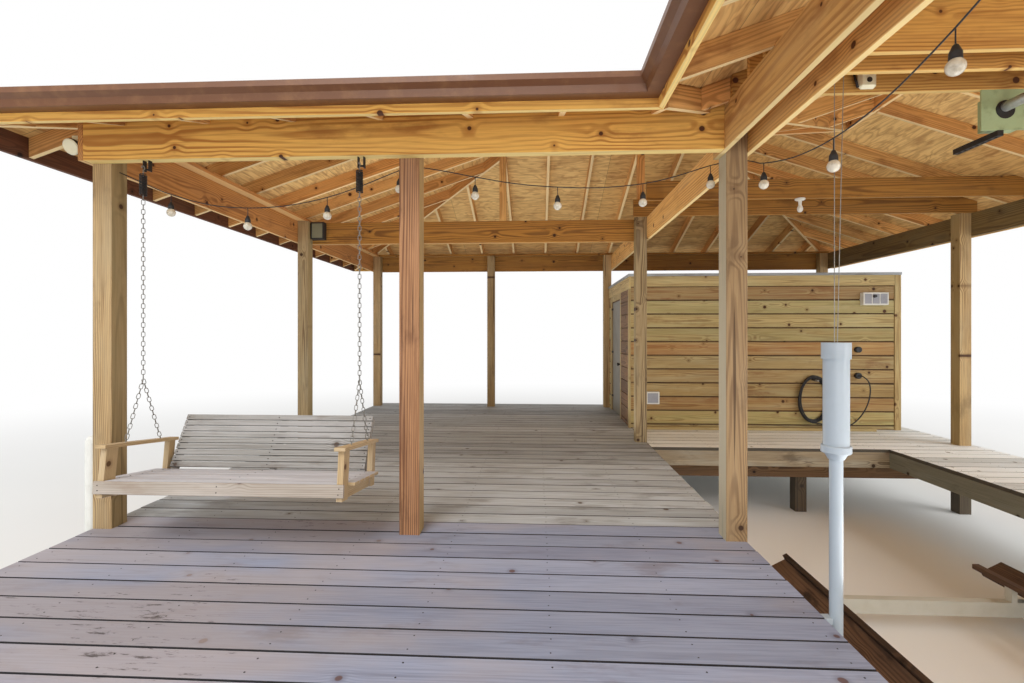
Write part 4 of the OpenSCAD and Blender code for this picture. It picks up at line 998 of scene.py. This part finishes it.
def pipeCollar(work):
    # the ring at the foot of the guide pipe's wide length
    radius, tall, ease = collar["radius"], collar["tall"], collar["ease"]
    profile = [(0.0, 0.0), (radius - ease, 0.0), (radius, ease), (radius, tall - ease), (radius - ease, tall),
               (0.0, tall)]
    lathe(work, profile, Vector(collar["place"]), collar["sides"])


done(newPiece("bulb_glasses", meshOf("bulb_glasses", bulbGlasses, smooth=True), "bulbGlass"))
done(newPiece("pipe_collar", meshOf("pipe_collar", pipeCollar), "pipeWhite"))
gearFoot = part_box("lift_gearbox")[0][2] + 0.035
twoTone("lift_gearbox", "gearGreen", "blackIron", lambda face, low, high: high.z < gearFoot)
# the lamp's front faces take the cream lens; the narrow bracket is black iron, and the dark sides and back of
# the housing are painted shade behind the disc
lampFront = Vector((0, -0.883, -0.469))
twoTone("flood_light", "blackIron", "creamGlass",
        lambda face, low, high: high.x - low.x > 0.05 and face.normal.dot(lampFront) > 0.3)


# Boxes on the walls: white frames with grey lids, a plug, black sockets

boxes = {"lids": 3, "wide": 0.350, "tall": 0.180, "rim": 0.020, "gap": 0.014, "thick": 0.006, "down": 0.255,
         "out": 0.092, "plug": (0.022, 0.034), "plugPlace": (0.150, -0.020, -0.055),
         "near": (0.150, 0.140), "nearPlace": (0.305, 1.30),
         "junction": (0.140, 0.190), "junctionPlace": (0.090, 3.605)}


def boxLids():
    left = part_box("wall_boxes")[1][0] - boxes["wide"]
    wallLow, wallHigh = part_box("shed_front_wall")
    top = wallHigh[2] - boxes["down"]
    front = wallLow[1] - boxes["out"]
    thick = boxes["thick"]
    lid = (boxes["wide"] - 2 * boxes["rim"] - (boxes["lids"] - 1) * boxes["gap"]) / boxes["lids"]
    lay("box_lids", template("box_lid", board(lid, boxes["tall"] - 2 * boxes["rim"], thick)), "boxGrey",
        axes((left + boxes["rim"] + lid / 2, front, top - boxes["tall"] / 2)), columns=boxes["lids"],
        columnStep=lid + boxes["gap"])
    x, y, z = boxes["plugPlace"]
    lay("box_plug", template("plug", disc(*boxes["plug"], 16)), "blackPlastic",
        axes((left + x, front + y, top + z)))
    x, z = boxes["nearPlace"]
    lay("box_lid_near", template("box_lid_left", board(*boxes["near"], thick)), "boxGrey",
        axes((wallLow[0] + x, front, z)))
    x, z = boxes["junctionPlace"]
    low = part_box("wall_boxes")[0]
    lay("junction_lid", template("junction_lid", board(*boxes["junction"], thick)), "boxGreen",
        axes((low[0] + x, low[1], z)))


dress("wall_boxes", "boxGrey", ease=0.004, salt=95,
      choose=lambda middle, size: "cleanWhite" if middle.x > 0 and size.x > 0.1 else "blackPlastic")
boxLids()


# Tubes, chains and cords

def sweep(work, points, radius, sides=8, closed=False):
    points = [Vector(point) for point in points]
    count = len(points)
    rings = []
    normal = None
    for k, point in enumerate(points):
        after = points[(k + 1) % count] if closed else points[min(k + 1, count - 1)]
        before = points[k - 1] if closed or k else points[0]
        along = (after - before).normalized()
        if normal is None:
            normal = along.orthogonal().normalized()
        normal = (normal - along * normal.dot(along)).normalized()
        side = along.cross(normal)
        rings.append([work.verts.new(point + radius * (math.cos(math.tau * j / sides) * normal
                                                       + math.sin(math.tau * j / sides) * side))
                      for j in range(sides)])
    for k in range(count if closed else count - 1):
        ring, after = rings[k], rings[(k + 1) % count]
        for j in range(sides):
            work.faces.new((ring[j], ring[(j + 1) % sides], after[(j + 1) % sides], after[j]))
    if not closed:
        work.faces.new(rings[0][::-1])
        work.faces.new(rings[-1])
    bmesh.ops.recalc_face_normals(work, faces=work.faces)


def tubePiece(name, points, radius, material, sides=8, smooth=True, body=house, instead=()):
    mesh = meshOf(name, lambda work: sweep(work, points, radius, sides), smooth=smooth)
    return done(newPiece(name, mesh, material), body, instead)


def smoothRoute(points, steps=4):
    # a curve through every point, as the solid's own
    points = [Vector(point) for point in points]
    route = []
    for k in range(len(points) - 1):
        a, b, c, d = points[max(k - 1, 0)], points[k], points[k + 1], points[min(k + 2, len(points) - 1)]
        for j in range(steps):
            t = j / steps
            route.append(0.5 * (2 * b + (c - a) * t + (2 * a - 5 * b + 4 * c - d) * t ** 2
                                + (3 * b - a - 3 * c + d) * t ** 3))
    return route + [points[-1]]


def routeLength(points):
    return sum((b - a).length for a, b in zip(points, points[1:]))


lightRoute = [
    (-4.0563, -0.04, 3.4), (-3.8802, -0.01, 3.32), (-3.7085, 0.01, 3.25), (-3.4293, 0.025, 3.175),
    (-3.146, 0.032, 3.15), (-2.8503, 0.035, 3.165), (-2.5566, 0.035, 3.22), (-2.2899, 0.035, 3.305),
    (-2.0293, 0.035, 3.405), (-1.92, 0.035, 3.424), (-1.83, 0.035, 3.418), (-1.6494, 0.035, 3.385),
    (-1.4819, 0.035, 3.35), (-1.1903, 0.035, 3.298), (-0.8967, 0.035, 3.27), (-0.6009, 0.035, 3.262),
    (-0.3011, 0.035, 3.285), (-0.0695, 0.035, 3.335), (0.1642, 0.035, 3.405), (0.29, 0.036, 3.424),
    (0.352, 0.047, 3.424), (0.378, 0.022, 3.42), (0.368, -0.045, 3.408), (0.363, -0.1915, 3.35),
    (0.363, -0.3341, 3.292), (0.363, -0.7007, 3.2), (0.363, -1.0645, 3.161), (0.363, -1.4108, 3.18),
    (0.363, -1.7571, 3.262), (0.368, -2.051, 3.375), (0.376, -2.2197, 3.43), (0.377, -2.4496, 3.436),
    (0.377, -2.7494, 3.436), (0.377, -3.018, 3.436)]


def lightCord():
    route = smoothRoute(lightRoute)
    cord = tubePiece("string_cord", route, 0.0035, "blackPlastic", instead=["light_cord"])
    routeLength(route)


coilLow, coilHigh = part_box("hose_coil")
coil = {
    "perTurn": 40, "radius": 0.0085, "half": (0.1975, 0.3175),
    "middle": ((coilLow[0] + coilHigh[0]) / 2, 3.890, (coilLow[2] + coilHigh[2]) / 2),
    "places": [(0.0190, 0.0210), (-0.0005, 0.0215), (-0.0105, 0.0012), (0.0105, 0.0012), (0.0195, -0.0185),
               (0.0, -0.0195), (-0.0195, -0.0185)],
}
# from the lower socket in a bow down to the loose plank and along it to the coil
socketRun = [
    (3.563, 3.8797, 1.633), (3.566, 3.838, 1.632), (3.59, 3.802, 1.612), (3.63, 3.788, 1.562),
    (3.657, 3.795, 1.484), (3.667, 3.808, 1.394), (3.658, 3.82, 1.295), (3.629, 3.831, 1.19),
    (3.578, 3.84, 1.088), (3.502, 3.846, 0.992), (3.405, 3.85, 0.926), (3.3, 3.853, 0.8985),
    (3.2, 3.855, 0.8975), (3.1, 3.858, 0.915), (3.02, 3.863, 0.945)]


def coiledLead():
    # turns beside and on each other; each moves over to the next place at its own spot of the round
    places = coil["places"]
    last = len(places) - 1
    x, y, z = coil["middle"]
    turns = []
    for k in range(last * coil["perTurn"] + 2):
        turn, share = divmod(k / coil["perTurn"], 1)
        first, second = places[int(turn)], places[min(int(turn) + 1, last)]
        blend = min(1.0, max(0.0, share * last - (last - 1 - turn)))
        blend *= blend * (3 - 2 * blend)
        out = first[0] + (second[0] - first[0]) * blend
        deep = first[1] + (second[1] - first[1]) * blend
        angle = -math.pi / 2 - math.tau * share
        turns.append(Vector((x + (coil["half"][0] + out) * math.cos(angle), y - deep,
                             z + (coil["half"][1] + out) * math.sin(angle))))
    route = smoothRoute(socketRun + [turns[0]])[:-1] + turns
    lead = tubePiece("coiled_lead", route, coil["radius"], "blackPlastic", instead=["hose_coil"])
    pegZ = coilHigh[2] - 0.0695
    tubePiece("coil_peg", [(x, 3.9497, pegZ), (x, coilLow[1] - 0.036, pegZ)], 0.014, "steel", 16)
    away = (route[-1] - route[-2]).normalized()
    plug = tubePiece("lead_plug", [route[-1], route[-1] + away * 0.05], 0.012, "blackPlastic", 12)
    routeLength(route)


chain = {"wire": 0.0024, "straight": 0.009, "bend": 0.010, "pitch": 0.0325, "split": 1.920,
         "feet": ((-0.340, 1.502), (-0.022, 1.463)), "inset": 0.024}
spring = {"top": 3.335, "foot": 3.190, "turns": 14, "radius": 0.0205, "wire": 0.0042}
hook = {"radius": 0.0125, "height": 3.380, "wire": 0.004, "under": 0.02}


def linkShape(roll):
    def make(work):
        points = []
        for centre, start in ((chain["straight"], -90), (-chain["straight"], 90)):
            for k in range(7):
                angle = math.radians(start + 30 * k)
                across = chain["bend"] * math.sin(angle)
                points.append((centre + chain["bend"] * math.cos(angle),
                               across * math.cos(roll), across * math.sin(roll)))
        sweep(work, points, chain["wire"], 6, True)
    return make


linkTemplates = [template("link_a", linkShape(0.6)), template("link_b", linkShape(0.6 + math.pi / 2))]


def chainRun(name, low, high):
    low, high = Vector(low), Vector(high)
    along = (high - low).normalized()
    across = along.cross(Vector((1, 0, 0))).normalized()
    count = int((high - low).length / chain["pitch"])
    step = (high - low).length / count
    for k, source in enumerate(linkTemplates):
        lay("%s_%d" % (name, k), source, "chainGrey", axes(low + along * step * (k + 0.5), along, across),
            columns=(count + 1 - k) // 2, columnStep=2 * step, body="swing", instead=["swing_chains"])


def swingChains():
    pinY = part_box("front_beam")[0][1]
    hangLow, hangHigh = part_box("swing_hangers")
    for side, x in enumerate((hangLow[0] + chain["inset"], hangHigh[0] - chain["inset"])):
        chainRun("chain_%d" % side, (x, pinY, chain["split"]), (x, pinY, spring["foot"]))
        for leg, (y, z) in enumerate(chain["feet"]):
            chainRun("leg_%d_%d" % (side, leg), (x, y, z), (x, pinY, chain["split"]))
        steps = 12 * spring["turns"]
        points = [(x + spring["radius"] * math.cos(math.tau * k / 12),
                   pinY + spring["radius"] * math.sin(math.tau * k / 12),
                   spring["foot"] + (spring["top"] - spring["foot"]) * k / steps) for k in range(steps + 1)]
        tubePiece("spring_%d" % side, points, spring["wire"], "blackIron", 6, body="swing")
        turns = [math.radians(angle) for angle in range(-90, 200, 20)]
        points = [(x, pinY, spring["top"] - hook["under"])]
        points += [(x, pinY + hook["radius"] * math.cos(turn),
                    hook["height"] + hook["radius"] * math.sin(turn)) for turn in turns]
        tubePiece("hook_%d" % side, points, hook["wire"], "steel", body="swing")


apron = {"y": -0.5505, "tall": 0.078, "thick": 0.019, "past": 0.030, "slat": 0.070, "slatY": -0.501,
         "inset": 0.022, "head": 0.034}
bench = {"place": (0.012, 1.25), "lean": -7, "backPlace": (0.016, 0.010), "backLean": -22,
         "seatEnd": 0.019, "seatFirst": -0.043, "seatPitch": 0.094, "seatRows": 5, "lift": 0.0008,
         "backEnd": 0.057, "backFirst": (-0.0198, 0.019), "backPitch": 0.045, "backRows": 9}


def swingScrews():
    # the front board, the slat behind it, and dark heads where slats cross the bearers and stiles
    def turned(matrix, place, angle=0):
        return matrix @ Matrix.Translation(place) @ Matrix.Rotation(math.radians(angle), 4, "X")

    def heads(name, matrix, count, columnStep, rowStep, seed, across=0.003):
        lay(name, head, "blackIron", matrix, columns=3, count=count, columnStep=columnStep, rowStep=rowStep,
            jitter=(0.003, across, 0), seed=seed, body="swing")

    def plank(name, source, material, length, tall, matrix, seed):
        lay(name, template(source, board(length, tall, thick)), material, matrix, seed=seed, body="swing")

    hangLow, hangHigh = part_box("swing_hangers")
    hang = (hangHigh[0] - hangLow[0]) / 2 - chain["inset"]
    y, z = bench["place"]
    seat = turned(Matrix(), ((hangLow[0] + hangHigh[0]) / 2, y, z), bench["lean"])
    head = template("slat_screw", disc(0.0045, 0.002))
    end, pitch = bench["seatEnd"], bench["seatPitch"]
    first = bench["seatFirst"] - (bench["seatRows"] - 1) * pitch
    heads("seat_screws", turned(seat, (end - hang, first, bench["lift"])), bench["seatRows"], hang - end,
          pitch, 401, 0.004)
    tall, thick = apron["tall"], apron["thick"]
    front = turned(seat, (0, apron["y"], -tall / 2), 90)
    plank("seat_apron", "apron_board", "apronWood", 2 * (hang + apron["past"]), tall, front, 411)
    plank("front_slat", "apron_slat", "seatWood", 2 * (hang - apron["inset"]), apron["slat"],
          turned(seat, (0, apron["slatY"], -thick / 2)), 412)
    heads("apron_screws", turned(front, (-hang, -apron["head"] / 2, thick / 2)), 2, hang, apron["head"], 413)
    back = turned(seat, (0, *bench["backPlace"]), bench["backLean"])
    end = bench["backEnd"]
    heads("back_screws", turned(back, (end - hang, *bench["backFirst"]), 90), bench["backRows"], hang - end,
          bench["backPitch"], 402)


lift = {"shaft": (1.813, 3.603), "opening": 0.056, "front": -0.315, "deep": 0.040, "blockX": (0.925, 1.035),
        "blockZ": (3.735, 3.845), "blockEase": 0.018, "holeShade": (0.985, 3.785), "holeRadius": 0.016,
        "strap": ((0.905, -0.012, 3.86), (0.912, -0.020, 3.80), (0.925, -0.024, 3.745)),
        "strapRadius": 0.008}


def liftFittings():
    # painted shade in the opening round the shaft, and the sheave block on the third tie with painted shade
    # in its hole
    def holeShade(name, place, y, radius, deep, sides):
        # a thin dark disc that paints the shade inside a hole
        x, z = place
        tubePiece(name, [(x, y + 0.002, z), (x, y - deep, z)], radius, "blackIron", sides, False)

    holeShade("gear_opening", lift["shaft"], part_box("lift_gearbox")[0][1], lift["opening"], 0.003, 24)
    front = lift["front"]
    low, high = zip(lift["blockX"], (front - lift["deep"], front), lift["blockZ"])
    block = meshOf("sheave_block", lambda work: boxMesh(work, low, high, lift["blockEase"]))
    done(newPiece("sheave_block", block, "creamGlass"))
    holeShade("sheave_hole", lift["holeShade"], front - lift["deep"], lift["holeRadius"], 0.002, 16)
    tubePiece("sheave_strap", [(x, front + y, z) for x, y, z in lift["strap"]], lift["strapRadius"],
              "blackIron", 6)


liftFittings()
lightCord()
coiledLead()
swingChains()
swingScrews()
print("cords and chains made")


# Stage, light and camera

view = {"place": (-1.042, -3.510, 2.232), "turn": 2.862, "focalPixels": 500.0, "wide": 1024.0, "horizon": 7.5}
lights = {
    "world": 0.72,
    "lamps": [
        ("key", (-6.0, -13.0, 15.0), (0, 0, 2), 8.0, 1900.0),
        ("fill", (13.0, -3.0, 9.0), (1, 1, 1.5), 8.0, 760.0),
        ("underFront", (-1.5, -11.0, 0.9), (0.5, 0.5, 4.2), 8.0, 480.0),
        ("underPorch", (-1.6, 2.4, 0.95), (-1.6, 2.4, 4.0), 3.4, 60.0),
        ("underSlip", (1.8, -1.4, 0.95), (1.8, -1.4, 4.0), 2.4, 50.0),
        ("lowRight", (7.5, -7.0, 2.6), (1.0, 4.0, 1.2), 3.0, 160.0),
    ],
}


def makeStage():
    mesh = bpy.data.meshes.new("floor")
    size = 400.0
    mesh.from_pydata([(-size, -size, 0), (size, -size, 0), (size, size, 0), (-size, size, 0)], [],
                     [(0, 1, 2, 3)])
    floor = bpy.data.objects.new("floor", mesh)
    bpy.context.scene.collection.objects.link(floor)
    ink = Ink("floorPale")
    grain = ink.noise(ink.place(), 0.6, 3.0)
    mesh.materials.append(ink.finish(ink.mix(grain, tone("f0f0ee"), tone("f4f4f2")), 0.9))
    # far from the object the camera sees the floor as white as the backdrop
    x, y, z = ink.parts(ink.place())
    away = ink.step(ink.math("SQRT", x * x + y * y), 7.5, 20.0)
    seen = ink.get("ShaderNodeLightPath", key="Is Camera Ray")
    glow = ink.add("ShaderNodeEmission", None, {"Color": (1.0, 1.0, 1.0, 1.0), "Strength": 1.0})
    blend = ink.add("ShaderNodeMixShader", None, {0: away * seen})
    end = next(node for node in ink.tree.nodes if node.type == "OUTPUT_MATERIAL")
    ink.tree.links.new(end.inputs[0].links[0].from_socket, blend.inputs[1])
    ink.tree.links.new(glow.outputs[0], blend.inputs[2])
    ink.tree.links.new(blend.outputs[0], end.inputs[0])


def makeLights():
    world = bpy.data.worlds.new("studio")
    bpy.context.scene.world = world
    world.use_nodes = True
    background = world.node_tree.nodes["Background"]
    tree = Wires(world.node_tree)
    rays = tree.add("ShaderNodeLightPath")
    seen = tree.out(rays, "Is Camera Ray") + tree.out(rays, "Is Glossy Ray")
    seen = seen + tree.out(rays, "Is Transmission Ray")
    level = tree.math("MINIMUM", seen, 1.0) * (1.0 - lights["world"]) + lights["world"]
    background.inputs[0].default_value = (1.0, 1.0, 1.0, 1.0)
    world.node_tree.links.new(level.socket, background.inputs[1])
    for name, place, aim, size, power in lights["lamps"]:
        lamp = bpy.data.lights.new(name, "AREA")
        lamp.size = size
        lamp.energy = power
        light = bpy.data.objects.new(name, lamp)
        light.location = place
        light.visible_camera = False
        light.rotation_euler = (Vector(aim) - Vector(place)).to_track_quat("-Z", "Y").to_euler()
        bpy.context.scene.collection.objects.link(light)


def makeCamera():
    data = bpy.data.cameras.new("view")
    data.sensor_width = 36.0
    data.lens = 36.0 * view["focalPixels"] / view["wide"]
    data.shift_y = -view["horizon"] / view["wide"]
    data.clip_start = 0.05
    data.clip_end = 200.0
    eye = bpy.data.objects.new("view", data)
    eye.location = view["place"]
    eye.rotation_euler = (math.radians(90), 0, math.radians(view["turn"]))
    bpy.context.scene.collection.objects.link(eye)
    bpy.context.scene.camera = eye
    bpy.context.scene.view_settings.view_transform = "Standard"


makeStage()
makeLights()
makeCamera()
print("finished")
